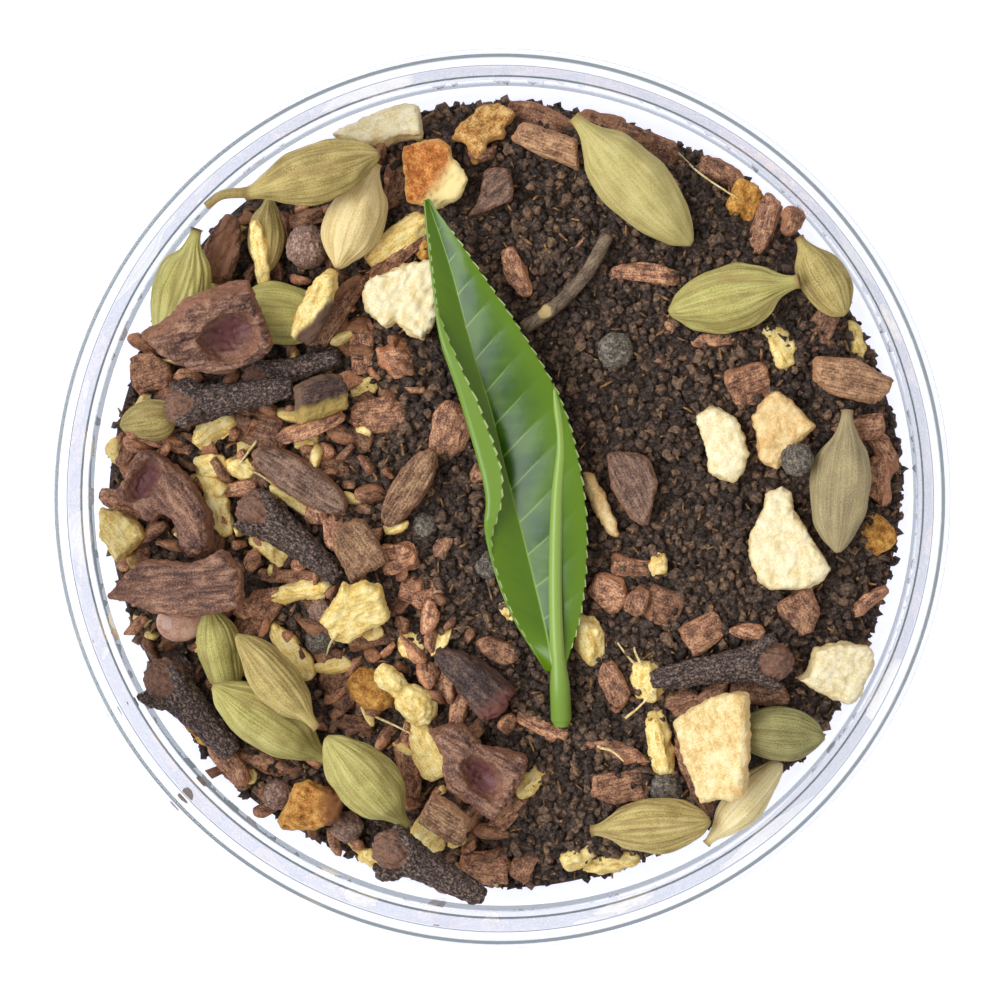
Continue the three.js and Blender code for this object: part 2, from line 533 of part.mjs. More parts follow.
/** Star anise carpel: a thick woody boat, rounded at its edges, hollow where it has split open. */
function starAnise({ size, seed, outline, open }) {
  const thickness = size[2];
  const form = { outline, corners: 9, square: 0.1, ragged: 0.15, wedge: 0.5 };
  const hull = plate(size, form, seed, 0.08 * Math.min(size[0], size[1]), 0);
  if (!open) return hull;
  const [x, y, length, width, turn] = open;
  const hollow = new THREE.SphereGeometry(0.5, 8, 6).scale(length, width, 1.3 * thickness);
  hollow.rotateZ(THREE.MathUtils.degToRad(turn)).translate(x, y, 0.5 * thickness);
  return toGeometry(toSolid(hull).subtract(toSolid(hollow)));
}

/** A bent twig with the cut end of a side branch. */
function twig({ size: [length, width] }) {
  const half = length / 2;
  const line = [[-half, 0.5], [-0.25 * length, -0.4], [0.15 * length, -0.5], [half, 0.9]];
  const stem = rod(line, width / 2, 7, 6);
  const knot = new THREE.CylinderGeometry(0.5 * width, 0.55 * width, 0.95 * width, 7).rotateX(Math.PI / 2);
  return fuse(stem, knot.translate(-0.26 * length, -0.3, 0.25 * width));
}

const BUILDERS = {
  cardamom_pod: cardamomPod,
  clove,
  star_anise: starAnise,
  star_anise_seed: berry,
  allspice_berry: berry,
  peppercorn: berry,
  ginger_slice: gingerSlice,
  ginger_knob: gingerKnob,
  peel: peelScrap,
  bark_chip: barkChip,
  twig,
};

// Dish

/** Inside radius of the dish at a height above its foot. */
function insideRadius(z) {
  const climb = THREE.MathUtils.clamp((z - DISH.floor) / (DISH.height - DISH.floor), 0, 1);
  return DISH.radius - DISH.wall - DISH.draft * (1 - climb);
}

/** Points of a quarter round in a half section, between two directions in degrees. */
function quarter(x, z, radius, from, to, steps) {
  return Array.from({ length: steps + 1 }, (_, k) => {
    const angle = THREE.MathUtils.degToRad(from + ((to - from) * k) / steps);
    return new THREE.Vector2(x + radius * Math.cos(angle), z + radius * Math.sin(angle));
  });
}

/** The glass dish: flat foot, upright wall, rounded rim. */
function glassDish() {
  const lip = DISH.wall / 2;
  const corner = DISH.insideCorner;
  const low = insideRadius(DISH.floor + corner);
  const profile = [
    new THREE.Vector2(0, 0),
    ...quarter(DISH.radius - DISH.outsideCorner, DISH.outsideCorner, DISH.outsideCorner, -90, 0, 3),
    ...quarter(DISH.radius - lip, DISH.height - lip, lip, 0, 180, 4),
    ...quarter(low - corner, DISH.floor + corner, corner, 0, -90, 3),
    new THREE.Vector2(0, DISH.floor),
  ];
  return new THREE.LatheGeometry(profile, DISH.sides).rotateX(Math.PI / 2);
}

// Height map that the pieces are laid on

class HeightMap {
  constructor(reach, level) {
    this.reach = reach;
    this.count = Math.ceil((2 * reach) / CELL);
    this.heights = new Float32Array(this.count * this.count).fill(level);
  }

  index(x, y) {
    const column = THREE.MathUtils.clamp(Math.floor((x + this.reach) / CELL), 1, this.count - 2);
    const row = THREE.MathUtils.clamp(Math.floor((y + this.reach) / CELL), 1, this.count - 2);
    return row * this.count + column;
  }

  /** Highest of a cell and its eight neighbours. */
  peak(cell) {
    let top = -Infinity;
    for (const row of [-this.count, 0, this.count]) {
      for (const column of [-1, 0, 1]) top = Math.max(top, this.heights[cell + row + column]);
    }
    return top;
  }

  /** Lowest and highest Z of a geometry over each cell that it covers. */
  footprint(geometry) {
    const cover = new Map();
    const note = (x, y, z) => {
      const cell = this.index(x, y);
      const [low, high] = cover.get(cell) ?? [Infinity, -Infinity];
      cover.set(cell, [Math.min(low, z), Math.max(high, z)]);
    };
    const corners = geometry.index ? geometry.toNonIndexed() : geometry;
    const position = corners.attributes.position;
    const [a, b, c, p] = [0, 1, 2, 3].map(() => new THREE.Vector3());
    for (let i = 0; i < position.count; i += 3) {
      [a, b, c].forEach((corner, k) => corner.fromBufferAttribute(position, i + k));
      const longest = Math.max(a.distanceTo(b), b.distanceTo(c), c.distanceTo(a));
      const parts = Math.max(1, Math.ceil(longest / CELL));
      for (let u = 0; u <= parts; u++) {
        for (let v = 0; u + v <= parts; v++) {
          p.copy(a).multiplyScalar((parts - u - v) / parts);
          p.addScaledVector(b, u / parts).addScaledVector(c, v / parts);
          note(p.x, p.y, p.z);
        }
      }
    }
    return cover;
  }

  /** How far a geometry has to be lifted to touch the map, or clear the cells beside it as well. */
  restHeight(geometry, wide) {
    let lift = -Infinity;
    for (const [cell, [low]] of this.footprint(geometry)) {
      lift = Math.max(lift, (wide ? this.peak(cell) : this.heights[cell]) - low);
    }
    return lift;
  }

  raise(geometry) {
    for (const [cell, [, high]] of this.footprint(geometry)) {
      this.heights[cell] = Math.max(this.heights[cell], high);
    }
  }
}

/** Moves a placed geometry towards the middle of the dish until it clears the wall. */
function keepInside(placed) {
  const limit = insideRadius(DISH.floor) - GAP;
  const position = placed.attributes.position;
  const moved = new THREE.Vector2();
  const point = new THREE.Vector2();
  const push = new THREE.Vector2();
  for (let tries = 0; tries < 4; tries++) {
    push.set(0, 0);
    for (let i = 0; i < position.count; i++) {
      point.set(position.getX(i), position.getY(i));
      const excess = point.length() - limit;
      if (excess > push.length()) push.copy(point).setLength(excess);
    }
    placed.translate(-push.x, -push.y, 0);
    moved.sub(push);
  }
  return moved;
}

/** A geometry turned to a pose and let down on the map, the place and turn that put it there, and a
 * level that is low where the piece and its highest point are. */
function letDown(map, geometry, pose, clearance) {
  const turn = new THREE.Euler(pose.roll, pose.pitch, pose.heading, "ZYX");
  const placed = geometry.clone().applyMatrix4(new THREE.Matrix4().makeRotationFromEuler(turn));
  placed.translate(pose.x, pose.y, 0);
  const moved = keepInside(placed);
  placed.computeBoundingBox();
  const lowest = DISH.floor + DISH.insideCorner + GAP - placed.boundingBox.min.z;
  const lift = Math.max(lowest, map.restHeight(placed, clearance > 0) + clearance);
  placed.translate(0, 0, lift);
  const place = new THREE.Vector3(pose.x + moved.x, pose.y + moved.y, lift);
  return { placed, turn, place, level: lift + 0.5 * placed.boundingBox.max.z };
}

/** Lays a mesh on the map: it leans and slides a little for as long as that lets it lie lower. */
function settle(map, mesh, { at: [x, y], turn }, clearance) {
  let pose = { x, y, pitch: 0, roll: 0, heading: THREE.MathUtils.degToRad(turn) };
  let best = letDown(map, mesh.geometry, pose, clearance);
  const within = (trial) =>
    Math.hypot(trial.x - x, trial.y - y) <= SETTLE.shift &&
    Math.max(Math.abs(trial.pitch), Math.abs(trial.roll)) <= SETTLE.lean;
  const moves = [];
  for (const sign of [1, -1]) {
    for (const lean of ["pitch", "roll"]) moves.push([lean, sign * SETTLE.leanStep]);
    for (const slide of ["x", "y"]) moves.push([slide, sign * SETTLE.shiftStep]);
  }
  for (let round = 0, moving = true; moving && round < SETTLE.rounds; round++) {
    moving = false;
    for (const [key, step] of moves) {
      const trial = { ...pose, [key]: pose[key] + step };
      if (!within(trial)) continue;
      const next = letDown(map, mesh.geometry, trial, clearance);
      if (next.level < best.level - 0.01) {
        [pose, best, moving] = [trial, next, true];
      }
    }
  }
  mesh.position.copy(best.place);
  mesh.rotation.copy(best.turn);
  return best.placed;
}

// Tea bed

/** Level of the bed's top at a place, before its lumps. */
function bedLevel(x, y, foot) {
  const left = THREE.MathUtils.smoothstep(-x, ...BED.leftFall);
  const corner = THREE.MathUtils.smoothstep(-(x + y) * Math.SQRT1_2, ...BED.cornerFall);
  const top = THREE.MathUtils.lerp(BED.deepSide, BED.lowSide, Math.max(left, corner));
  const rise = THREE.MathUtils.smoothstep(foot - Math.hypot(x, y), -0.4 * BED.slope, BED.slope);
  return THREE.MathUtils.lerp(DISH.floor, top, rise);
}

/** The bed: rings of lumps, six more in each ring, over a flat underside. */
function teaBed() {
  const random = seeded(41);
  const base = DISH.floor + GAP;
  const points = [];
  const corners = [];
  const firstOf = (ring) => (ring ? 1 + 3 * ring * (ring - 1) : 0);
  for (let ring = 0; ring <= BED.rings; ring++) {
    for (let k = 0; k < Math.max(1, 6 * ring); k++) {
      const angle = (2 * Math.PI * k) / Math.max(1, 6 * ring);
      const foot = BED.radius + BED.ragged * Math.sin(5 * angle + 1) * Math.cos(3 * angle);
      const edge = ring === BED.rings;
      const radius = (foot * ring) / BED.rings;
      const [x, y] = [radius * Math.cos(angle), radius * Math.sin(angle)];
      const lump = edge ? 0.3 : BED.bump * (2 * random() - 1);
      points.push(x, y, Math.max(base + 0.2, bedLevel(x, y, foot) + lump));
    }
  }
  for (let ring = 1; ring <= BED.rings; ring++) {
    for (let sector = 0; sector < 6; sector++) {
      for (let k = 0; k < ring; k++) {
        const outer = (step) => firstOf(ring) + ((sector * ring + step) % (6 * ring));
        const inner = (step) =>
          ring === 1 ? 0 : firstOf(ring - 1) + ((sector * (ring - 1) + step) % (6 * (ring - 1)));
        corners.push(inner(k), outer(k), outer(k + 1));
        if (k < ring - 1) corners.push(inner(k), outer(k + 1), inner(k + 1));
      }
    }
  }
  const rim = firstOf(BED.rings);
  const around = 6 * BED.rings;
  const under = points.length / 3;
  for (let k = 0; k < around; k++) {
    points.push(points[3 * (rim + k)], points[3 * (rim + k) + 1], base);
  }
  const middle = points.length / 3;
  points.push(0, 0, base);
  for (let k = 0; k < around; k++) {
    const next = (k + 1) % around;
    corners.push(rim + k, under + k, under + next, rim + k, under + next, rim + next);
    corners.push(middle, under + next, under + k);
  }
  const geometry = new THREE.BufferGeometry();
  geometry.setAttribute("position", new THREE.Float32BufferAttribute(points, 3));
  return geometry.setIndex(corners);
}

/** One small chip of the heap, about its own middle. */
function chip(kind, length, width, seed) {
  if (kind === "berry") return berry({ size: [length, length, width], seed });
  const form = CHIP_FORM[kind];
  return plate([length, width, form.thickness], form, seed, 0, 0.1 * width);
}

/** The bed with its small chips seated in it, fused to one solid. */
function heap(map) {
  let seed = 100;
  let solid = toSolid(teaBed());
  map.raise(teaBed());
  for (const [kind, rows] of Object.entries(CHIPS)) {
    for (const [x, y, turn, length, width] of rows) {
      const piece = new THREE.Mesh(chip(kind, length, width, ++seed));
      const thickness = CHIP_FORM[kind]?.thickness ?? width;
      const placed = settle(map, piece, { at: [x, y], turn }, -SEAT * thickness - GAP);
      solid = solid.add(toSolid(placed));
      map.raise(placed);
    }
  }
  return largestShell(toGeometry(solid));
}

// Fresh shoot

/** Height of the shoot's midrib at a place along Y, bending smoothly over the highest pieces below. */
function shootLevel(map, y) {
  let level = -Infinity;
  const [left, right] = [BLADE_LEFT, BLADE_RIGHT].map(curveThrough);
  for (let t = 0; t <= 1; t += 0.5 / SHOOT.steps) {
    const [l, r] = [left.getPoint(t), right.getPoint(t)];
    for (let v = 0; v <= 1; v += 0.5 / SHOOT.across) {
      const under = l.clone().lerp(r, v);
      const needed = map.peak(map.index(under.x, under.y)) + GAP + SHOOT.thickness / 2 + SHOOT.wave;
      level = Math.max(level, needed - SHOOT.sag * (y - under.y) ** 2);
    }
  }
  return level;
}

/** Leaf blade: a thin sheet between two outlines, folded along its midrib, its left edge turned up. */
function blade(map) {
  const [left, rib, right] = [BLADE_LEFT, MIDRIB, BLADE_RIGHT].map(curveThrough);
  const points = [];
  const corners = [];
  const rowLength = SHOOT.across + 1;
  const sheet = (SHOOT.steps + 1) * rowLength;
  for (const side of [1, -1]) {
    for (let i = 0; i <= SHOOT.steps; i++) {
      const t = i / SHOOT.steps;
      const [l, m, r] = [left, rib, right].map((curve) => curve.getPoint(t));
      const level = shootLevel(map, m.y);
      const swell = Math.sin(Math.PI * t) ** 0.6;
      for (let j = 0; j <= SHOOT.across; j++) {
        const v = (2 * j) / SHOOT.across - 1;
        const p = m.clone().lerp(v < 0 ? l : r, Math.abs(v));
        const ripple = SHOOT.wave * v * v * Math.sin(9 * t + 2 * v);
        const turnUp = v < 0 ? SHOOT.curl * v * v * v * v : 0;
        const z = swell * (SHOOT.fold * v * v + turnUp + ripple);
        points.push(p.x, p.y, level + z + (side * SHOOT.thickness) / 2);
      }
    }
  }
  const quad = (a, b, c, d) => corners.push(a, b, c, a, c, d);
  for (let i = 0; i < SHOOT.steps; i++) {
    for (let j = 0; j < SHOOT.across; j++) {
      const a = i * rowLength + j;
      const [b, c, d] = [a + rowLength, a + rowLength + 1, a + 1];
      corners.push(a, b, c, a, c, d);
      corners.push(sheet + a, sheet + c, sheet + b, sheet + a, sheet + d, sheet + c);
    }
    const [l, r] = [i * rowLength, i * rowLength + SHOOT.across];
    quad(l, sheet + l, sheet + l + rowLength, l + rowLength);
    quad(r, r + rowLength, sheet + r + rowLength, sheet + r);
  }
  const last = SHOOT.steps * rowLength;
  for (let j = 0; j < SHOOT.across; j++) {
    quad(j, j + 1, sheet + j + 1, sheet + j);
    quad(last + j, sheet + last + j, sheet + last + j + 1, last + j + 1);
  }
  const geometry = new THREE.BufferGeometry();
  geometry.setAttribute("position", new THREE.Float32BufferAttribute(points, 3));
  return geometry.setIndex(corners);
}

/** Rolled bud that widens from a point into the stalk. */
function bud(map) {
  const line = curveThrough(BUD);
  const length = line.getLength();
  const profile = [[0, 0]];
  for (const [share, radius] of [
    [0.02, 0.15], [0.2, SHOOT.budRadius], [0.6, SHOOT.budRadius],
    [0.84, SHOOT.stalkRadius], [0.97, SHOOT.stalkRadius], [1, 0.6 * SHOOT.stalkRadius],
  ]) {
    profile.push([share * length, radius]);
  }
  profile.push([length, 0]);
  const dense = new THREE.Path(profile.map(([x, r]) => new THREE.Vector2(x, r)));
  const points = dense.getSpacedPoints(11).map((p) => [p.x, p.y]);
  const body = turned(points, 7);
  return reshape(body, (p) => {
    const share = p.x / length;
    const on = line.getPointAt(THREE.MathUtils.clamp(share, 0, 1));
    const way = line.getTangentAt(THREE.MathUtils.clamp(share, 0, 1));
    const lift = shootLevel(map, on.y) + (SHOOT.thickness + SHOOT.budRadius) * (1 - 0.4 * share);
    p.set(on.x - way.y * p.y, on.y + way.x * p.y, p.z + lift);
  });
}

// Assembly

/** A named mesh in its own finish. */
function meshOf(name, kind, geometry) {
  const [color, roughness] = FINISH[kind];
  const clear = kind === "glass_dish";
  const material = new THREE.MeshStandardMaterial({
    color, roughness, metalness: 0, transparent: clear, opacity: clear ? 0.35 : 1,
  });
  const mesh = new THREE.Mesh(geometry, material);
  mesh.name = name;
  return mesh;
}

function masalaChai() {
  const group = new THREE.Group();
  const map = new HeightMap(DISH.radius, DISH.floor);
  group.add(meshOf("glass_dish", "glass_dish", glassDish()));
  group.add(meshOf("tea_bed", "tea_bed", heap(map)));
  const counts = {};
  for (const row of TOPPINGS) {
    counts[row.kind] = (counts[row.kind] ?? 0) + 1;
    const mesh = meshOf(`${row.kind}_${counts[row.kind]}`, row.kind, BUILDERS[row.kind](row));
    map.raise(settle(map, mesh, row, GAP));
    group.add(mesh);
  }
  group.add(meshOf("tea_shoot", "tea_shoot", fuse(blade(map), bud(map))));
  return group;
}

export default masalaChai();
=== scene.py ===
"""Looks for a glass dish of dry masala chai blend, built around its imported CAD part.

A surface is worked out in millimetres and becomes an object in metres, as the frame is.
"""

import itertools
import json
import logging
import math
from collections.abc import Sequence
from dataclasses import dataclass, field
from enum import Enum

import bpy
import numpy as np
from mathutils import Matrix, Vector, noise
from mathutils.bvhtree import BVHTree

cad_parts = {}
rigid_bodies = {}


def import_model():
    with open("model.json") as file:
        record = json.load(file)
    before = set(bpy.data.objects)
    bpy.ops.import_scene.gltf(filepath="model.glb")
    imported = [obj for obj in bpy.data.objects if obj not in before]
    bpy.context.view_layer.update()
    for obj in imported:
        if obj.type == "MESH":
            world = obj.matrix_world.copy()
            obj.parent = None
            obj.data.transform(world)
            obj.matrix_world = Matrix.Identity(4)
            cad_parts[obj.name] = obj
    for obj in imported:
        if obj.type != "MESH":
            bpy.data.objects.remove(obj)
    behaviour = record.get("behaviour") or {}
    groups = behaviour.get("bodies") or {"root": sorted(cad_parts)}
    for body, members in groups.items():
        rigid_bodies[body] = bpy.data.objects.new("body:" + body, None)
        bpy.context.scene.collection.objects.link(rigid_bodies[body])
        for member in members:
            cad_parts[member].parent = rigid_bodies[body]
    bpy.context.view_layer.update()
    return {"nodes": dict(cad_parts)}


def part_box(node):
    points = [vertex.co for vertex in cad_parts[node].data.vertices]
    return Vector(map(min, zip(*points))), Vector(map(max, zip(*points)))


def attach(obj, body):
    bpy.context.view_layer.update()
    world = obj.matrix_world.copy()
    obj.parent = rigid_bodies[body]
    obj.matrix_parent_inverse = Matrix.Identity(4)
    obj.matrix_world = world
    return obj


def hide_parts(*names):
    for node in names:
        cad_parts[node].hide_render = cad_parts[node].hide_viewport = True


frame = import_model()

LOG = logging.getLogger("masala_chai")
MM = 0.001
UP = np.array([0.0, 0.0, 1.0])
DOWN = Vector((0.0, 0.0, -1.0))
OVERHEAD = 60.0  # mm, above every piece
VEIN_PITCH = 3.8  # mm between the leaf's side veins
PATTERN_STEP = 31.7  # sets one seed's noise off from the next one's
GRAIN_STEP = 13.0  # mm, sets one piece's grain off from the next one's


# Small tools


def linear(colour: str) -> tuple[float, float, float, float]:
    """An sRGB hex colour as linear RGBA.

    Args:
        colour: "#rrggbb".

    Returns:
        Red, green, blue and full alpha.
    """
    values = [int(colour[i : i + 2], 16) / 255 for i in (1, 3, 5)]
    red, green, blue = (v / 12.92 if v <= 0.04045 else ((v + 0.055) / 1.055) ** 2.4 for v in values)
    return red, green, blue, 1.0


def add(
    tree: bpy.types.NodeTree,
    kind: str,
    inputs: dict[str | int, object] | None = None,
    stops: Sequence[tuple[float, str]] = (),
    **settings: object,
) -> bpy.types.Node:
    """Adds a node with its settings, its fixed inputs and its links.

    Args:
        tree: the tree it goes in.
        kind: Blender's name for the node.
        inputs: a value, or an output socket to link, for each input.
        stops: places and hex colours, where the node is a colour ramp.
        settings: the node's own properties.

    Returns:
        The new node.
    """
    node = tree.nodes.new(kind)
    for name, value in settings.items():
        setattr(node, name, value)
    for name, value in (inputs or {}).items():
        if isinstance(value, bpy.types.NodeSocket):
            tree.links.new(value, node.inputs[name])
        else:
            node.inputs[name].default_value = value
    for k, (place, colour) in enumerate(stops):
        elements = node.color_ramp.elements
        element = elements[k] if k < 2 else elements.new(place)
        element.position = place
        element.color = linear(colour)
    return node


def smoothstep(low: float, high: float, value: np.ndarray) -> np.ndarray:
    """An even ramp from 0 at low to 1 at high."""
    t = np.clip((value - low) / (high - low), 0.0, 1.0)
    return t * t * (3 - 2 * t)


def heading(degrees: float) -> np.ndarray:
    """A level unit vector, counted anticlockwise from +X."""
    angle = math.radians(degrees)
    return np.array([math.cos(angle), math.sin(angle), 0.0])


def unit(vector: np.ndarray) -> np.ndarray:
    """A vector at length 1."""
    return vector / np.linalg.norm(vector)


def curve(points: Sequence[Sequence[float]], count: int) -> np.ndarray:
    """Even samples of a smooth curve through points.

    Args:
        points: what it passes through.
        count: how many samples.

    Returns:
        The samples, one in a row.
    """
    knots = np.array(points, dtype=float)
    knots = np.vstack([2 * knots[0] - knots[1], knots, 2 * knots[-1] - knots[-2]])
    place = np.linspace(0, len(points) - 1 - 1e-9, count)
    first = place.astype(int)
    t = (place - first)[:, None]
    a, b, c, d = (knots[first + k] for k in range(4))
    bend = (2 * a - 5 * b + 4 * c - d) * t**2 + (3 * (b - c) + d - a) * t**3
    return 0.5 * (2 * b + (c - a) * t + bend)


def distances(line: np.ndarray) -> np.ndarray:
    """How far each point of a line is from its start, along it."""
    return np.concatenate([[0], np.cumsum(np.linalg.norm(np.diff(line, axis=0), axis=1))])


def ripples(points: np.ndarray, wave: float | Sequence[float], seed: int, octaves: int = 3) -> np.ndarray:
    """Smooth noise at points, from about -1 to 1.

    Args:
        points: places in millimetres.
        wave: size of the largest ripples, one for all axes or one for each.
        seed: picks the pattern.
        octaves: how many finer ripples ride on them, each half as large.

    Returns:
        One value for each point.
    """
    shifted = points / np.asarray(wave) + PATTERN_STEP * seed
    return np.array([noise.fractal(p, 1.0, 2.0, octaves) for p in shifted.tolist()])


def pits(points: np.ndarray, wave: float, seed: int) -> np.ndarray:
    """Distance to the nearest of scattered dots, in units of their spacing."""
    shifted = points / wave + PATTERN_STEP * seed
    return np.array([noise.voronoi(p)[0][0] for p in shifted.tolist()])


def signed_power(value: np.ndarray, power: float) -> np.ndarray:
    """A value's size raised to a power, its sign kept."""
    return np.sign(value) * np.abs(value) ** power


def mesh_arrays(mesh: bpy.types.Mesh) -> tuple[np.ndarray, np.ndarray]:
    """Reads a mesh.

    Args:
        mesh: the mesh, in any unit.

    Returns:
        Its points, and the three corners of each of its triangles.
    """
    mesh.calc_loop_triangles()
    points = np.empty(3 * len(mesh.vertices))
    mesh.vertices.foreach_get("co", points)
    corners = np.empty(3 * len(mesh.loop_triangles), dtype=np.int32)
    mesh.loop_triangles.foreach_get("vertices", corners)
    return points.reshape(-1, 3), corners.reshape(-1, 3)


def placed_object(name: str, data: bpy.types.ID) -> bpy.types.Object:
    """Puts a new object in the scene.

    Args:
        name: its name.
        data: its mesh, light or camera.

    Returns:
        The object.
    """
    thing = bpy.data.objects.new(name, data)
    bpy.context.scene.collection.objects.link(thing)
    return thing


@dataclass
class Skin:
    """A closed surface of triangles in millimetres, with values painted on its points."""

    points: np.ndarray
    triangles: np.ndarray
    paint: dict[str, np.ndarray] = field(default_factory=dict)

    @classmethod
    def joined(cls, skins: Sequence["Skin"]) -> "Skin":
        """Several skins as one.

        Args:
            skins: what is joined.

        Returns:
            The one skin, with the paints that the first of them has.
        """
        starts = np.cumsum([0] + [len(s.points) for s in skins])
        return cls(
            np.vstack([s.points for s in skins]),
            np.vstack([s.triangles + start for s, start in zip(skins, starts)]),
            {name: np.concatenate([s.paint[name] for s in skins]) for name in skins[0].paint},
        )

    @classmethod
    def of_node(cls, node: str) -> "Skin":
        """A CAD node's solid, its loose triangles merged.

        Args:
            node: the node's name.

        Returns:
            Its surface, with no paint.
        """
        points, corners = mesh_arrays(frame["nodes"][node].data)
        points = points / MM
        _, first, owner = np.unique(np.round(points, 3), axis=0, return_index=True, return_inverse=True)
        return cls(points[first], owner.reshape(-1)[corners])

    def normals(self) -> np.ndarray:
        """Works out which way the surface faces.

        Returns:
            A unit normal for each point.
        """
        a, b, c = (self.points[self.triangles[:, k]] for k in range(3))
        faces = np.cross(b - a, c - a)
        total = np.zeros_like(self.points)
        for k in range(3):
            np.add.at(total, self.triangles[:, k], faces)
        return total / np.maximum(np.linalg.norm(total, axis=1, keepdims=True), 1e-12)

    def push(self, amount: np.ndarray) -> None:
        """Moves the points along their normals."""
        self.points = self.points + self.normals() * amount[:, None]

    def relax(self, rounds: int, share: float | np.ndarray = 0.5) -> None:
        """Evens out corners: each point moves a share of the way to its neighbours' middle.

        Args:
            rounds: how often.
            share: the share, one for all points or one for each.
        """
        pairs = np.vstack([self.triangles[:, [k, (k + 1) % 3]] for k in range(3)])
        owner, other = pairs.T
        total = len(self.points)
        count = np.maximum(np.bincount(owner, minlength=total), 1)[:, None]
        for _ in range(rounds):
            sums = [np.bincount(owner, self.points[other, axis], minlength=total) for axis in range(3)]
            middle = np.column_stack(sums) / count
            self.points = self.points + np.reshape(share, (-1, 1)) * (middle - self.points)

    def coat(self, grain: np.ndarray, **shares: np.ndarray | float) -> None:
        """Paints the grain and the shares of other colours.

        Args:
            grain: each point's place in the pattern, in millimetres.
            shares: values of named paints, one for all points or one for each. Edge and cavity are 0
                if they aren't given.
        """
        self.paint = {"grain": grain}
        for name, share in {"edge": 0.0, "cavity": 0.0, **shares}.items():
            self.paint[name] = np.broadcast_to(share, len(self.points)).astype(float)

    def tree(self) -> BVHTree:
        """The surface for ray casts, in millimetres."""
        return BVHTree.FromPolygons(self.points.tolist(), self.triangles.tolist())

    def mesh(self, name: str, scale: float = MM) -> bpy.types.Mesh:
        """A Blender mesh with the paints as attributes.

        Args:
            name: the mesh's name.
            scale: mesh units in a millimetre.

        Returns:
            The new mesh.
        """
        mesh = bpy.data.meshes.new(name)
        mesh.from_pydata((self.points * scale).tolist(), [], self.triangles.tolist())
        for paint, values in self.paint.items():
            if values.ndim == 2:
                layer = mesh.attributes.new(paint, "FLOAT_VECTOR", "POINT")
                layer.data.foreach_set("vector", (values * scale).astype(np.float32).ravel())
            else:
                layer = mesh.attributes.new(paint, "FLOAT", "POINT")
                layer.data.foreach_set("value", values.astype(np.float32))
        mesh.shade_smooth()
        return mesh

    def recast(self, cell: float) -> "Skin":
        """One even skin round this one, where its shells may overlap.

        Args:
            cell: edge of the new faces in millimetres.

        Returns:
            The new skin, with no paint.
        """
        cast = placed_object("cast", self.mesh("cast", 1.0))
        cells = cast.modifiers.new("cells", "REMESH")
        cells.mode = "VOXEL"
        cells.voxel_size = cell
        mesh = evaluated_mesh(cast)
        recast = Skin(*mesh_arrays(mesh))
        shape = cast.data
        bpy.data.objects.remove(cast)
        for spent in (shape, mesh):
            bpy.data.meshes.remove(spent)
        return recast


def solids_tree(*left_out: str) -> BVHTree:
    """The CAD's solids as one surface for ray casts, apart from the nodes that are left out."""
    names = [name for name in frame["nodes"] if name not in left_out]
    return Skin.joined([Skin.of_node(name) for name in names]).tree()


def met_from_above(tree: BVHTree, x: float, y: float) -> Vector | None:
    """Where a surface is first met from above, or None beside it."""
    return tree.ray_cast(Vector((x, y, OVERHEAD)), DOWN)[0]


def evaluated_mesh(thing: bpy.types.Object) -> bpy.types.Mesh:
    """A plain mesh of an object with its modifiers applied."""
    bpy.context.view_layer.update()
    return bpy.data.meshes.new_from_object(thing.evaluated_get(bpy.context.evaluated_depsgraph_get()))


def show(skin: Skin, name: str, finish: "Finish", slot: str, *nodes: str) -> bpy.types.Object:
    """Makes a skin a piece of the part.

    Args:
        skin: the piece's surface.
        name: the piece's name.
        finish: what it is made of.
        slot: the record's material slot.
        nodes: CAD nodes that it stands for.

    Returns:
        The new object.
    """
    return enlist(placed_object(name, skin.mesh(name)), finish, slot, *nodes)


def enlist(piece: bpy.types.Object, finish: "Finish", slot: str, *nodes: str) -> bpy.types.Object:
    """Dresses an object and makes it ride on the part.

    Args:
        piece: the object, its place in its mesh.
        finish: what it is made of.
        slot: the record's material slot; not used.
        nodes: CAD nodes that it stands for.

    Returns:
        The same object.
    """
    piece.data.materials.clear()
    piece.data.materials.append(finish.material())
    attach(piece, "root")
    if nodes:
        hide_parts(*nodes)
    LOG.info("%s: %d triangles", piece.name, sum(len(p.vertices) - 2 for p in piece.data.polygons))
    return piece


def ball(rings: int, sides: int) -> tuple[np.ndarray, np.ndarray, np.ndarray]:
    """A closed round net with its poles on the X axis.

    Args:
        rings: rings between the poles.
        sides: points on a ring.

    Returns:
        Height from -1 to 1 and angle of each point, and the triangles.
    """
    rise = np.repeat(np.linspace(-1, 1, rings + 2)[1:-1], sides)
    angle = np.tile(2 * np.pi * np.arange(sides) / sides, rings)
    rise = np.concatenate([rise, [-1.0, 1.0]])
    angle = np.concatenate([angle, [0.0, 0.0]])
    one = np.arange(sides)
    two = (one + 1) % sides
    starts = sides * np.arange(rings - 1)[:, None]
    a = (starts + one).ravel()
    b = (starts + two).ravel()
    low, high = np.full(sides, rings * sides), np.full(sides, rings * sides + 1)
    last = (rings - 1) * sides
    corners = (
        (a, b, b + sides),
        (a, b + sides, a + sides),
        (low, two, one),
        (high, last + one, last + two),
    )
    return rise, angle, np.vstack([np.column_stack(three) for three in corners])


def sphere(rings: int, sides: int) -> tuple[np.ndarray, np.ndarray]:
    """A sphere of radius 1 about the origin.

    Args:
        rings: rings between the poles, evenly spaced round it.
        sides: points on a ring.

    Returns:
        Its points and its triangles.
    """
    rise, angle, triangles = ball(rings, sides)
    slant = np.pi / 2 * rise
    points = np.column_stack([np.sin(slant), np.cos(slant) * np.cos(angle), np.cos(slant) * np.sin(angle)])
    return points, triangles


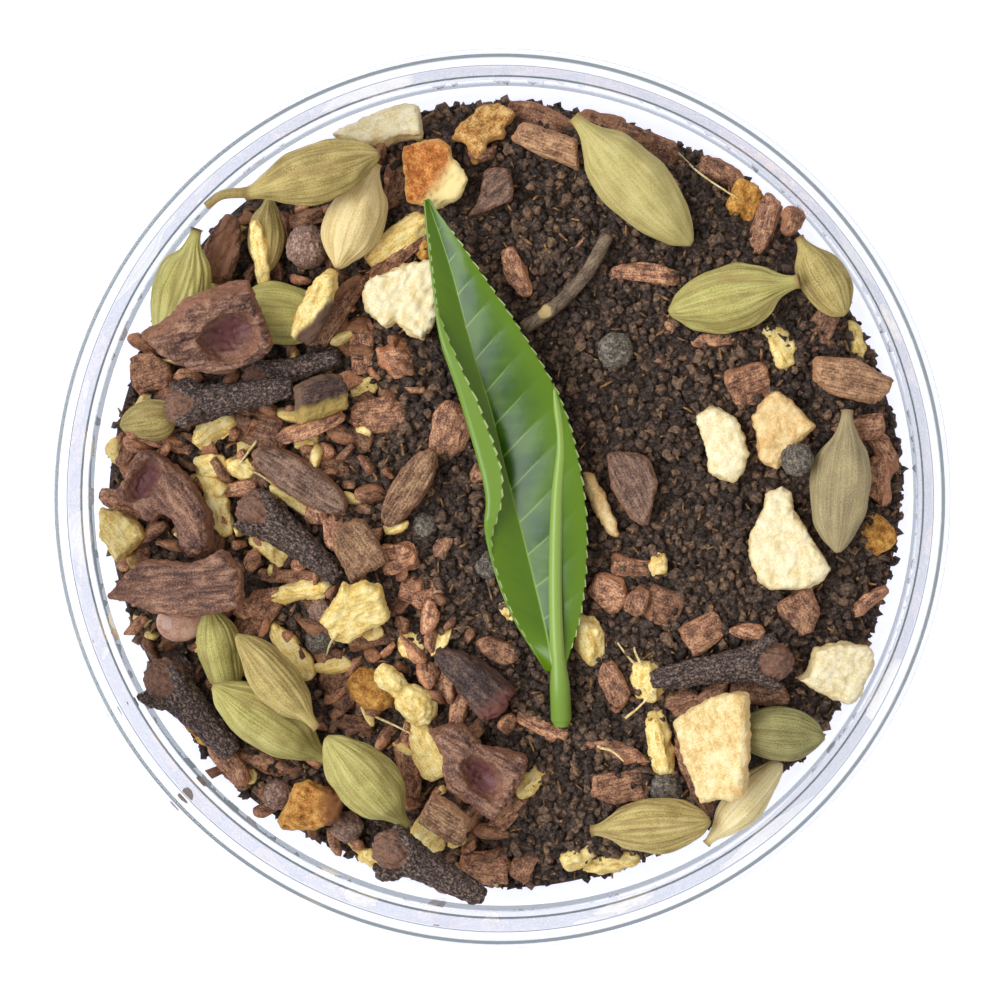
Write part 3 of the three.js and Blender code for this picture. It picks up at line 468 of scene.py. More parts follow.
def tube(line: np.ndarray, radius: np.ndarray, sides: int) -> Skin:
    """A round rod along a line, its ends closed.

    Args:
        line: points along its middle.
        radius: its radius at each of them.
        sides: points round it.

    Returns:
        The rod, painted with its grain.
    """
    ahead = np.gradient(line, axis=0)
    ahead /= np.linalg.norm(ahead, axis=1, keepdims=True)
    side = np.cross(ahead, UP)
    side /= np.maximum(np.linalg.norm(side, axis=1, keepdims=True), 1e-9)
    over = np.cross(side, ahead)
    _, angle, triangles = ball(len(line), sides)
    rows = np.repeat(np.arange(len(line)), sides)
    turn = angle[: len(rows)]
    out, up = radius[rows] * np.cos(turn), radius[rows] * np.sin(turn)
    ring = line[rows] - out[:, None] * side[rows] + up[:, None] * over[rows]
    length = distances(line)
    grain = np.column_stack([length[rows], out, up])
    ends = np.array([[0.0, 0.0, 0.0], [length[-1], 0.0, 0.0]])
    return Skin(np.vstack([ring, line[[0, -1]]]), triangles, {"grain": np.vstack([grain, ends])})


@dataclass(frozen=True)
class Lie:
    """Where a piece lies: its middle, its axes along, across and through it, and its size on them."""

    middle: np.ndarray
    axes: np.ndarray
    size: np.ndarray

    @classmethod
    def of_solid(cls, solid: Skin, toward: np.ndarray, flat: bool) -> "Lie":
        """Reads how a solid lies.

        Args:
            solid: its surface.
            toward: a level direction near the one that its head or grain points in.
            flat: whether it is a plate, which shows its face, and not a rod.

        Returns:
            Its lie.
        """
        a, b, c = (solid.points[solid.triangles[:, k]] for k in range(3))
        area = np.linalg.norm(np.cross(b - a, c - a), axis=1)
        centres = (a + b + c) / 3
        spread = centres - np.average(centres, axis=0, weights=area)
        _, axes = np.linalg.eigh((spread * area[:, None]).T @ spread)
        if flat:
            through = axes[:, 0] * np.sign(axes[2, 0])
            along = unit(toward - through * (toward @ through))
        else:
            along = axes[:, 2] * np.sign(axes[:, 2] @ toward)
            through = unit(UP - along * (UP @ along))
        rows = np.vstack([along, np.cross(through, along), through])
        local = solid.points @ rows.T
        low, high = local.min(axis=0), local.max(axis=0)
        return cls((low + high) / 2 @ rows, rows, high - low)

    def local(self, points: np.ndarray) -> np.ndarray:
        """Points in the piece's own axes."""
        return (points - self.middle) @ self.axes.T

    def placed(self, points: np.ndarray) -> np.ndarray:
        """Points given in the piece's own axes, where they lie."""
        return points @ self.axes + self.middle


# Finishes


@dataclass(frozen=True)
class Finish:
    """A named material: what every finish shares."""

    name: str

    def material(self) -> bpy.types.Material:
        """The finish in Blender, made once.

        Returns:
            Its material.
        """
        known = bpy.data.materials.get(self.name)
        if known:
            return known
        made = bpy.data.materials.new(self.name)
        made.use_nodes = True
        self.paint(made.node_tree, made.node_tree.nodes["Principled BSDF"])
        return made

    def paint(self, tree: bpy.types.NodeTree, shader: bpy.types.Node) -> None:
        """Sets the shader's sockets."""
        raise NotImplementedError


@dataclass(frozen=True)
class ClearGlass(Finish):
    """Pressed clear glass, fire polished: bright rims, a wall that carries grey-blue light."""

    tint: str = "#f3f5fa"
    carried: str = "#c3d0d6"
    glow: float = 0.07  # stands for light that the wall carries from farther round
    ior: float = 1.4  # under common glass's 1.5, which keeps the wall's inside light

    def paint(self, tree: bpy.types.NodeTree, shader: bpy.types.Node) -> None:
        """Sets the shader's sockets.

        Args:
            tree: the material's nodes.
            shader: its main shader.
        """
        shader.inputs["Base Color"].default_value = linear(self.tint)
        shader.inputs["Roughness"].default_value = 0.0
        shader.inputs["IOR"].default_value = self.ior
        shader.inputs["Transmission Weight"].default_value = 1.0
        shader.inputs["Emission Color"].default_value = linear(self.carried)
        shader.inputs["Emission Strength"].default_value = self.glow


@dataclass(frozen=True)
class DriedPlant(Finish):
    """A dried plant: fibres along its grain, paler and darker patches, another colour where it is broken."""

    dark: str
    body: str
    light: str
    broken: str
    hollow: str = "#000000"
    fibre: tuple[float, float] = (3.0, 0.35)  # mm along and across the grain
    patch: float = 2.5  # mm
    patchy: float = 0.45  # share of patches in the colour, the rest is fibres
    grit: float = 0.35  # share of fine grain over both
    grit_size: float = 0.2  # mm
    spread: float = 0.09  # how far noise goes from dark to light
    relief: float = 0.05  # mm
    roughness: float = 0.8
    gloss: float = 0.3
    polish: float = 0.0  # how much smoother its hollows are
    tone: float = 0.0  # how far a piece's own tone changes its brightness

    def paint(self, tree: bpy.types.NodeTree, shader: bpy.types.Node) -> None:
        """Sets the shader's sockets.

        Args:
            tree: the material's nodes.
            shader: its main shader.
        """
        along, across = self.fibre
        grain = add(tree, "ShaderNodeAttribute", attribute_name="grain").outputs["Vector"]
        pitch = (1 / (along * MM), 1 / (across * MM), 1 / (across * MM))
        drawn = add(tree, "ShaderNodeMapping", {"Vector": grain, "Scale": pitch})
        fibres = add(tree, "ShaderNodeTexNoise", {"Vector": drawn.outputs[0], "Scale": 1.0, "Detail": 5.0})
        spots = {"Vector": grain, "Scale": 1 / (self.patch * MM), "Detail": 4.0, "Roughness": 0.6}
        patches = add(tree, "ShaderNodeTexNoise", spots)
        mixed = {0: self.patchy, 2: fibres.outputs[0], 3: patches.outputs[0]}
        streaks = add(tree, "ShaderNodeMix", mixed, data_type="FLOAT").outputs[0]
        fine = {"Vector": grain, "Scale": 1 / (self.grit_size * MM), "Detail": 3.0}
        mixed = {0: self.grit, 2: streaks, 3: add(tree, "ShaderNodeTexNoise", fine).outputs[0]}
        blend = add(tree, "ShaderNodeMix", mixed, data_type="FLOAT")
        shades = [(0.5 - self.spread, self.dark), (0.5, self.body), (0.5 + self.spread, self.light)]
        colour = add(tree, "ShaderNodeValToRGB", {0: blend.outputs[0]}, shades).outputs[0]
        for paint, other in (("edge", self.broken), ("cavity", self.hollow)):
            share = add(tree, "ShaderNodeAttribute", attribute_name=paint).outputs["Fac"]
            mixed = {0: share, 6: colour, 7: linear(other)}
            colour = add(tree, "ShaderNodeMix", mixed, data_type="RGBA").outputs[2]
        if self.tone:
            own = add(tree, "ShaderNodeAttribute", attribute_name="tone").outputs["Fac"]
            span = {0: own, 3: 1 - self.tone, 4: 1 + self.tone}
            toned = {"Value": add(tree, "ShaderNodeMapRange", span).outputs[0], "Color": colour}
            colour = add(tree, "ShaderNodeHueSaturation", toned).outputs[0]
        tree.links.new(colour, shader.inputs["Base Color"])
        bump = {"Height": blend.outputs[0], "Distance": self.relief * MM, "Strength": 1.0}
        tree.links.new(add(tree, "ShaderNodeBump", bump).outputs[0], shader.inputs["Normal"])
        shader.inputs["Roughness"].default_value = self.roughness
        if self.polish:
            hollow = add(tree, "ShaderNodeAttribute", attribute_name="cavity").outputs["Fac"]
            span = {0: hollow, 3: self.roughness, 4: self.roughness - self.polish}
            shine = add(tree, "ShaderNodeMapRange", span).outputs[0]
            tree.links.new(shine, shader.inputs["Roughness"])
        shader.inputs["Specular IOR Level"].default_value = self.gloss


@dataclass(frozen=True)
class RolledTea(Finish):
    """Black tea rolled to granules: near black to red-brown, matt, each granule its own shade."""

    shades: tuple[tuple[float, str], ...] = (
        (0.37, "#241d19"),
        (0.48, "#51423a"),
        (0.57, "#7a6151"),
        (0.68, "#b08a64"),
    )
    grit_size: float = 0.35  # mm
    own_share: float = 0.2  # share of a granule's own tone in its shade
    relief: float = 0.4  # mm

    def paint(self, tree: bpy.types.NodeTree, shader: bpy.types.Node) -> None:
        """Sets the shader's sockets.

        Args:
            tree: the material's nodes.
            shader: its main shader.
        """
        place = add(tree, "ShaderNodeTexCoord").outputs["Object"]
        fine = {"Vector": place, "Scale": 1 / (self.grit_size * MM), "Detail": 6.0, "Roughness": 0.7}
        grit = add(tree, "ShaderNodeTexNoise", fine).outputs[0]
        own = add(tree, "ShaderNodeAttribute", attribute_name="tone").outputs["Fac"]
        blend = add(tree, "ShaderNodeMix", {0: self.own_share, 2: grit, 3: own}, data_type="FLOAT")
        colour = add(tree, "ShaderNodeValToRGB", {0: blend.outputs[0]}, self.shades)
        tree.links.new(colour.outputs[0], shader.inputs["Base Color"])
        bump = {"Height": grit, "Distance": self.relief * MM, "Strength": 1.0}
        tree.links.new(add(tree, "ShaderNodeBump", bump).outputs[0], shader.inputs["Normal"])
        shader.inputs["Roughness"].default_value = 0.75
        shader.inputs["Specular IOR Level"].default_value = 0.3


@dataclass(frozen=True)
class FreshLeaf(Finish):
    """A fresh tea leaf: waxy dark green above with painted light, paler and duller below, light veins, pale
    teeth and a painted highlight.
    """

    upper: str = "#44640a"
    deep: str = "#2a4c12"
    # painted light: the lighter green where the upper side is taken to be lit
    bright: str = "#56760a"
    under: str = "#6c8a30"
    vein: str = "#93ad52"
    # pale teeth, and the painted highlight along the rolled young leaf
    tooth: str = "#d5dfa0"
    cloud: float = 5.0  # mm, of its lighter and darker patches
    pores: float = 0.6  # mm
    vein_width: tuple[float, float] = (0.045, 0.01)  # of the vein pitch, where a vein starts and is full

    def paint(self, tree: bpy.types.NodeTree, shader: bpy.types.Node) -> None:
        """Sets the shader's sockets.

        Args:
            tree: the material's nodes.
            shader: its main shader.
        """
        grain = add(tree, "ShaderNodeAttribute", attribute_name="grain").outputs["Vector"]
        broad = {"Vector": grain, "Scale": 1 / (self.cloud * MM), "Detail": 2.0}
        cloud = add(tree, "ShaderNodeTexNoise", broad)
        shades = [(0.38, self.deep), (0.62, self.upper)]
        colour = add(tree, "ShaderNodeValToRGB", {0: cloud.outputs[0]}, shades).outputs[0]
        course = add(tree, "ShaderNodeSeparateXYZ", {0: grain}).outputs[0]
        turns = add(tree, "ShaderNodeMath", {0: course, 1: 1 / (VEIN_PITCH * MM)}, operation="MULTIPLY")
        near = add(tree, "ShaderNodeMath", {0: turns.outputs[0], 1: 0.5}, operation="PINGPONG")
        start, full = self.vein_width
        thin = add(tree, "ShaderNodeMapRange", {0: near.outputs[0], 1: start, 2: full}).outputs[0]
        # The bright share is painted light: it lightens the upper side where the leaf is taken to be lit.
        others = {
            "bright": self.bright,
            "under": self.under,
            "vein": self.vein,
            "rib": self.vein,
            # margin also carries the roll's painted highlight
            "margin": self.tooth,
        }
        for paint, other in others.items():
            share = add(tree, "ShaderNodeAttribute", attribute_name=paint).outputs["Fac"]
            if paint == "vein":
                share = add(tree, "ShaderNodeMath", {0: share, 1: thin}, operation="MULTIPLY").outputs[0]
            mixed = {0: share, 6: colour, 7: linear(other)}
            colour = add(tree, "ShaderNodeMix", mixed, data_type="RGBA").outputs[2]
        tree.links.new(colour, shader.inputs["Base Color"])
        dots = {"Vector": grain, "Scale": 1 / (self.pores * MM), "Detail": 2.0}
        fine = add(tree, "ShaderNodeTexNoise", dots)
        bump = {"Height": fine.outputs[0], "Distance": 0.02 * MM, "Strength": 0.5}
        tree.links.new(add(tree, "ShaderNodeBump", bump).outputs[0], shader.inputs["Normal"])
        shader.inputs["Roughness"].default_value = 0.27
        shader.inputs["Specular IOR Level"].default_value = 0.4


def husk(
    shade: str,
    *colours: str,
    fibre: tuple[float, float] = (9, 0.22),
    relief: float = 0.05,
) -> DriedPlant:
    """A cardamom husk, papery: its ribs catch the light, its ends go brown, and its creases take that brown
    as painted shade.
    """
    return DriedPlant("cardamom husk, " + shade, *colours, fibre=fibre, relief=relief)


def dried_ginger(
    shade: str,
    *colours: str,
    patch: float,
    patchy: float = 0.6,
    fibre: tuple[float, float] = (1.2, 0.5),
) -> DriedPlant:
    """Dried ginger: chalky flesh with yellow patches, tan at the cut and the skin."""
    return DriedPlant("dried ginger, " + shade, *colours, fibre=fibre, patch=patch, patchy=patchy, relief=0.1)


def dried_peel(
    shade: str,
    *colours: str,
    patch: float = 1.6,
    fibre: tuple[float, float] = (0.9, 0.7),
) -> DriedPlant:
    """Dried citrus peel: oily orange rind over yellow pith."""
    return DriedPlant("dried peel, " + shade, *colours, fibre=fibre, patch=patch, relief=0.12)


def cinnamon(
    shade: str,
    *colours: str,
    fibre: tuple[float, float] = (2.5, 0.22),
    relief: float = 0.14,
) -> DriedPlant:
    """Cinnamon bark: grey-brown outside, orange-brown where it is broken."""
    return DriedPlant("cinnamon bark, " + shade, *colours, fibre=fibre, patch=1.4, relief=relief)


# The fourth colour browns the ends and seams, and is painted shade in the creases.
POD_GREEN = husk("green", "#8f8748", "#afa55f", "#c3ba78", "#94784c")
POD_FRESH = husk("fresh", "#a9a055", "#c6bc70", "#d4cb86", "#8f7a48")
POD_OLIVE = husk("olive", "#887645", "#b09c5e", "#c6b277", "#86683f")
POD_DARK = husk("dark", "#706a3f", "#928a58", "#a69e6b", "#7a683e")
POD_PALE = husk("bleached", "#bfa66a", "#d9c189", "#e6d3a0", "#b99c64", fibre=(9, 0.3))
POD_BONE = husk("bone", "#d3bc82", "#ebd7a1", "#f2e3b8", "#c2a66c", fibre=(9, 0.3), relief=0.04)
POD_GREY = husk("grey", "#83755b", "#9f8f68", "#b4a57d", "#8d7652", fibre=(9, 0.25), relief=0.04)
POD_SMOOTH = husk("smooth", "#a3945a", "#b9aa6b", "#c7ba7e", "#ab9058", fibre=(6, 0.5), relief=0.03)

GINGER_CREAM = dried_ginger("cream", "#dcc48c", "#eadab0", "#f1e6c6", "#d9b878", patch=1.6)
GINGER_TAN = dried_ginger("tan", "#cda265", "#e3c085", "#eed4a2", "#c0925a", patch=1.8)
GINGER_YELLOW = dried_ginger(
    "yellow", "#c9a457", "#e3c97f", "#efdfa8", "#d3ab5a", "#5d4436", patch=1.4, patchy=0.45, fibre=(1.5, 0.4)
)
GINGER_SLAB = dried_ginger(
    "browned", "#cda768", "#e4ca90", "#efdcb0", "#d6b274", patch=1.5, patchy=0.65, fibre=(1.0, 0.6)
)

PEEL_ORANGE = dried_peel("orange", "#93501f", "#bd7338", "#d59a55", "#d9b066", "#e6d091")
PEEL_LACE = dried_peel("lacy", "#8c5a26", "#c48f4f", "#dcb877", "#b98545", "#4a3220")
PEEL_AMBER = dried_peel(
    "amber", "#8a5524", "#be8340", "#d9aa5c", "#c3924c", "#774a28", patch=1.4, fibre=(1.0, 0.6)
)

BARK_BROWN = cinnamon("brown", "#4d3629", "#805e46", "#ad8a68", "#98694a")
BARK_GREY = cinnamon("outer", "#46332c", "#74594b", "#997a66", "#94654a", fibre=(2.0, 0.3))
BARK_ORANGE = cinnamon("inner", "#6a4b37", "#a37a5c", "#cb9f78", "#ab7950")
BARK_DARK = cinnamon("dark", "#30241f", "#4f3c38", "#6d564d", "#7f624a", "#a48a4c", relief=0.1)

# Small bits of the same things, each with its own tone.
BARK_CHIPS = DriedPlant(
    "cinnamon bark, chips", "#4d342a", "#90654f", "#c59670", "#b07551",
    fibre=(2.0, 0.22), patch=0.9, patchy=0.6, relief=0.15, tone=0.5,
)
ROOT_BITS = DriedPlant(
    "dried root, bits", "#d2aa58", "#f4d888", "#fbecb8", "#e2ba66",
    fibre=(1.6, 0.4), patch=1.2, relief=0.08, tone=0.1,
)
PEEL_BITS = DriedPlant(
    "dried peel, bits", "#85521f", "#b9803a", "#d6a858", "#bf8c44",
    fibre=(1.0, 0.6), patch=1.2, relief=0.1, tone=0.2,
)

# Clove buds: dull, gritty, almost black with pale specks, the unopened head brown.
CLOVE = DriedPlant(
    "dried clove", "#241d1b", "#473b38", "#8a7365", "#87604c",
    fibre=(0.5, 0.3), patch=0.25, relief=0.14, roughness=0.9,
)

# Star anise: wrinkled wood outside, a polished red-brown hollow, a shiny seed.
STAR_ANISE = DriedPlant(
    "star anise carpel", "#46302a", "#7a584a", "#a88067", "#8f6046", "#6d4140",
    fibre=(3, 0.5), relief=0.14, polish=0.4,
)
ANISE_DARK = DriedPlant(
    "star anise carpel, dark", "#2c2120", "#4c3c39", "#755f54", "#63473c", "#6e4038",
    fibre=(3, 0.5), relief=0.14,
)
ANISE_SEED = DriedPlant(
    "star anise seed", "#a9755c", "#c99a80", "#dcb299", "#a9755c",
    fibre=(3, 3), relief=0.01, roughness=0.25, gloss=0.6,
)

# Berries: dull wrinkled skins.
ALLSPICE = DriedPlant(
    "allspice skin", "#63493f", "#8c6e60", "#b29584", "#75574b",
    fibre=(0.4, 0.4), patch=1.2,
)
PEPPER = DriedPlant(
    "peppercorn skin", "#332e2b", "#5a524a", "#8d8375", "#857663",
    fibre=(0.6, 0.5), patch=0.8,
)

# Twig, root and stalk: fibres all along, so they look drawn out.
TWIG_BARK = DriedPlant(
    "twig bark", "#4a3d31", "#6b5a4a", "#8d7860", "#b89f6e",
    fibre=(2.0, 0.25), relief=0.07,
)
STRAW = DriedPlant(
    "root fibre", "#b9974f", "#dcc384", "#efe2ba", "#dcc384",
    fibre=(2.0, 0.2), relief=0.02,
)
TEA_FIBRE = DriedPlant(
    "tea stalk fibre", "#5b3f2c", "#8f663f", "#b98c58", "#84603f",
    fibre=(1.0, 0.15), relief=0.02,
)

GLASS = ClearGlass("clear pressed glass")
TEA = RolledTea("rolled black tea")
LEAF = FreshLeaf("fresh tea leaf")


# Dish


@dataclass
class GlassDish:
    """The round glass dish, turned from one section."""

    radius: float = 50.0
    height: float = 20.0
    wall: float = 2.0
    floor: float = 2.2
    draft: float = 0.8  # how far the inside narrows from rim to floor
    inside_corner: float = 1.2
    outside_corner: float = 2.6
    sides: int = 240
    arc_points: int = 13

    def section(self) -> np.ndarray:
        """Draws the half section.

        Returns:
            Its points out from the foot's middle, round the rim and in to the floor's middle.
        """
        lip = self.wall / 2
        low = self.radius - self.wall - self.draft
        rounds = (
            (self.radius - self.outside_corner, self.outside_corner, self.outside_corner, -90, 0),
            (self.radius - lip, self.height - lip, lip, 0, 180),
            (low - self.inside_corner, self.floor + self.inside_corner, self.inside_corner, 0, -90),
        )
        stretches = []
        for x, z, size, start, end in rounds:
            angle = np.radians(np.linspace(start, end, self.arc_points))
            stretches.append(np.column_stack([x + size * np.cos(angle), z + size * np.sin(angle)]))
        return np.vstack(stretches)

    def build(self) -> None:
        """Makes the dish."""
        section = self.section()
        rings = len(section)
        _, angle, triangles = ball(rings, self.sides)
        rows = np.repeat(np.arange(rings), self.sides)
        turn = angle[: len(rows)]
        reach = section[rows, 0]
        wall = np.column_stack([reach * np.cos(turn), reach * np.sin(turn), section[rows, 1]])
        middles = np.array([[0.0, 0.0, 0.0], [0.0, 0.0, self.floor]])
        show(Skin(np.vstack([wall, middles]), triangles), "dish", GLASS, "glass_dish", "glass_dish")


# Tea


class ChipKind(Enum):
    """What a small piece of the heap is."""

    BARK = "bark"
    ROOT = "root"
    PEEL = "peel"
    PEPPER = "pepper"
    ALLSPICE = "allspice"


@dataclass(frozen=True)
class Chip:
    """A small piece of the heap: where its middle is, where it points, its size and its tone."""

    kind: ChipKind
    x: float
    y: float
    turn: float
    length: float
    width: float
    tone: float


def chips(kind: ChipKind, *rows: tuple[float, float, float, float, float, float]) -> list[Chip]:
    """Chips of one kind from rows of x, y, turn, length, width and tone."""
    return [Chip(kind, *row) for row in rows]


CHIPS = [
    *chips(
        ChipKind.BARK,
        (4.4, 43.6, -16, 8, 2.8, 0.45), (11.5, 43, -14, 6.5, 2.4, 0.3), (17.6, 39.6, -20, 5.3, 4, 0.2),
        (25, 37.4, -40, 5.4, 2.8, 0.4), (1.9, 25.6, -65, 6.3, 2.6, 0.7), (16.5, 25.7, -6, 8.2, 2.4, 0.8),
        (30.2, 31.2, 82, 7.5, 2.9, 0.5), (33, 31.4, 70, 3.4, 2.7, 0.45), (36.4, 19.7, 62, 6.8, 4, 0.15),
        (28.4, 12.8, 20, 5, 5, 0.5), (40.2, 8.2, 5, 7, 3.6, 0.5), (43.6, 5, -68, 5.4, 2.4, 0.5),
        (42.9, 1.8, -85, 6, 3.4, 0.7), (34.3, -13, -60, 5, 4.5, 0.35), (41.8, -12, 40, 5.8, 1.9, 0.7),
        (18.1, -12.4, -20, 5.2, 4.3, 0.3), (23, -15.4, 25, 4.8, 3.8, 0.6), (28, -15.4, -15, 3.9, 2.7, 0.75),
        (12.3, -10.8, -25, 4.6, 4.2, 0.75), (14.6, -7.8, -6, 5.2, 2.6, 0.5), (-5.8, 7.8, 75, 6.8, 4.6, 0.6),
        (-14, 9.6, 5, 6.4, 4.3, 0.65), (-16, 17, 92, 7.6, 2.9, 0.6), (-12, 15.9, 0, 4.6, 4.4, 0.9),
        (-11.7, -6.9, 12, 4.5, 4.4, 0.8), (-9.4, -10.9, -18, 5.4, 3.8, 0.8), (-28.2, 8.4, -12, 6, 5, 0.15),
        (-40.6, 14.6, 20, 5, 4.4, 0.7), (-28.4, -13.8, 60, 7.2, 4, 0.5), (-20.4, 4, -12, 6.2, 3.5, 0.35),
        (4.7, -26.4, -29, 6.9, 2.2, 0.8), (-10.9, -31.3, 97, 7.2, 2.6, 0.6), (0.6, -36.6, 38, 6.3, 2, 0.6),
        (-1.8, -43, -8, 6.4, 3.8, 0.65), (2.6, -42.8, 60, 4.4, 2.8, 0.45), (13, -21.8, -66, 6.2, 2.9, 0.45),
        (13.6, -29, -18, 7.8, 2.4, 0.55), (13.5, -33.2, 12, 7, 4.2, 0.4), (23.3, -23.2, 28, 8, 2.8, 0.35),
        (29.6, -22.2, -8, 7, 2.9, 0.15), (-31.8, -30.6, -55, 7, 3, 0.6), (-18.6, -21.2, 70, 6.6, 5, 0.15),
        (-17.4, -26, -10, 5.2, 3, 0.15), (-14.8, -16.3, 12, 6, 2.6, 0.15), (-12, 35.8, 78, 6, 3.2, 0.15),
        (21.9, -31.4, -70, 10.5, 1.9, 0.3),
    ),
    *chips(
        ChipKind.ROOT,
        (10.1, -16.2, -78, 6.4, 3.2, 0.2), (16.6, -21, 98, 5, 3.5, 0.6), (18.2, -28, -78, 7.6, 3, 0.1),
        (-10, -17, 0, 4, 3.8, 0.4), (-8.6, -29, -62, 8, 4, 0.5), (3.7, -32.3, 45, 5.8, 2.3, 0.5),
        (-7.9, -38.6, 60, 5.5, 5, 0.6), (-33.3, 7.8, 38, 5.8, 3.6, 0.5), (-33.8, 3.7, 10, 4, 3, 0.9),
        (-30.2, 3.5, -20, 3.6, 3, 0.7), (-32.8, -1.5, -75, 6.6, 2.8, 0.6), (-23.2, -10.9, 8, 7.7, 2.2, 0.95),
        (-24.2, -17.8, -58, 8.3, 3, 0.5), (-11.6, 29.6, 38, 9.2, 3.4, 0.8), (31.9, 17.4, -65, 6, 3.8, 0.2),
        (40.4, 17.8, -78, 5.2, 2.3, 0.4), (12.6, -42.4, 9, 7, 2.3, 0.1), (8.8, -41.6, 25, 4.3, 2.8, 0.1),
        (-14.8, -41.8, -20, 3.8, 2.2, 0.5), (-41.8, -13.8, 60, 3.4, 2.6, 0.0),
    ),
    *chips(
        ChipKind.PEEL,
        (27.7, 33.6, 70, 5.3, 4, 0.6), (42.6, -4, -44, 5.3, 4.4, 0.6), (-14.7, -21.7, -30, 5.8, 5.6, 0.3),
        (-36.4, -25.8, -50, 7.6, 1.9, 0.8),
    ),
    *chips(
        ChipKind.PEPPER,
        (13, 16.8, 0, 4.3, 3.8, 0.5), (-8.8, -3.1, 0, 3.3, 3.1, 0.4), (-1.4, -7.7, 0, 3.6, 3.3, 0.4),
        (18.8, -33.2, 0, 4.2, 3.9, 0.4), (-21, -16.6, 0, 3.5, 3.3, 0.5),
    ),
    *chips(
        ChipKind.ALLSPICE,
        (-21, -13, 0, 2.8, 2.7, 0.4), (-26, -34.5, 0, 3.7, 3.6, 0.6), (-18, -38.2, 0, 3.8, 3.6, 0.5),
    ),
]

# Thinner pieces in the gaps and on the others, which the CAD heap leaves out.
LOOSE_CHIPS = [
    *chips(
        ChipKind.BARK,
        (25, 18.2, 5, 6.8, 1.7, 0.65), (15.5, -11.8, 70, 3.4, 2.5, 0.4), (-6.9, -5.6, 70, 2.7, 1.9, 0.5),
        (-21.9, 8, 31, 9, 2.2, 0.8), (-18.5, 21.4, 47, 11.6, 2.8, 0.2), (-11.4, 28.2, 41, 9.2, 2.2, 0.4),
        (-39.4, 6.5, -19, 8.4, 2, 0.85), (-43.4, 5.6, 60, 4.8, 3, 0.35), (-24.1, -9.1, 4, 8.6, 1.6, 0.4),
        (20.6, -22.8, 20, 4.2, 2.4, 0.3), (-27.5, -30.8, -27, 8, 2.3, 0.5), (-0.5, -17.5, -20, 5, 2.8, 0.35),
        (-6.3, -21.6, 80, 4, 2.6, 0.4), (-2.4, 2.8, 60, 2.8, 2.2, 0.5),
        (14.5, 41.3, -12, 7, 2.5, 0.3), (-2, 39.1, 10, 3.6, 2, 0.3), (18.9, 20.2, -60, 3, 0.8, 0.7),
        (8.6, 28.8, 40, 2.8, 0.8, 0.95), (18.3, 27.6, 15, 2.5, 0.8, 0.8), (19.4, 36, -30, 2, 0.8, 0.7),
        (18.3, 15.7, 30, 2, 0.9, 0.7), (-22.5, 32, 20, 5, 2, 0.2),
    ),
    *chips(
        ChipKind.ROOT,
        (-27, -6, -28, 5.5, 2.8, 0.3), (17.9, -7.6, 80, 3, 2, 0.2), (0.7, -13, -50, 3, 1.5, 0.4),
        (-27.7, 28, 88, 8, 2, 1), (-23.4, -0.8, -36, 7.7, 1.6, 0.2),
        (-22.5, 6.4, 20, 3, 1.8, 0.2), (-15.8, 12.6, 15, 3.4, 2, 0.2),
    ),
    *chips(ChipKind.PEEL, (-8.6, 28.7, 70, 3.4, 2.2, 0.7)),
]


@dataclass(frozen=True)
class Strewing:
    """How loose things lie on the heap's core."""

    name: str  # of the piece that they make
    finish: Finish
    spacing: float  # least distance between two, in mm
    sizes: tuple[float, float]  # smallest and largest scale
    lift: float  # mm from the core up to their middles
    mask: str = "open"  # the core's paint that says where they lie


GRANULES = Strewing("tea_granules", TEA, 0.84, (0.55, 1.2), 0.1)
FIBRES = Strewing("tea_fibres", TEA_FIBRE, 2.2, (0.3, 1.0), 0.5)
BARK_CRUMBS = Strewing("bark_crumbs", BARK_CHIPS, 2.6, (0.6, 1.3), 0.7, "heaped")
ROOT_CRUMBS = Strewing("root_crumbs", ROOT_BITS, 6.0, (0.6, 1.3), 0.7, "heaped")


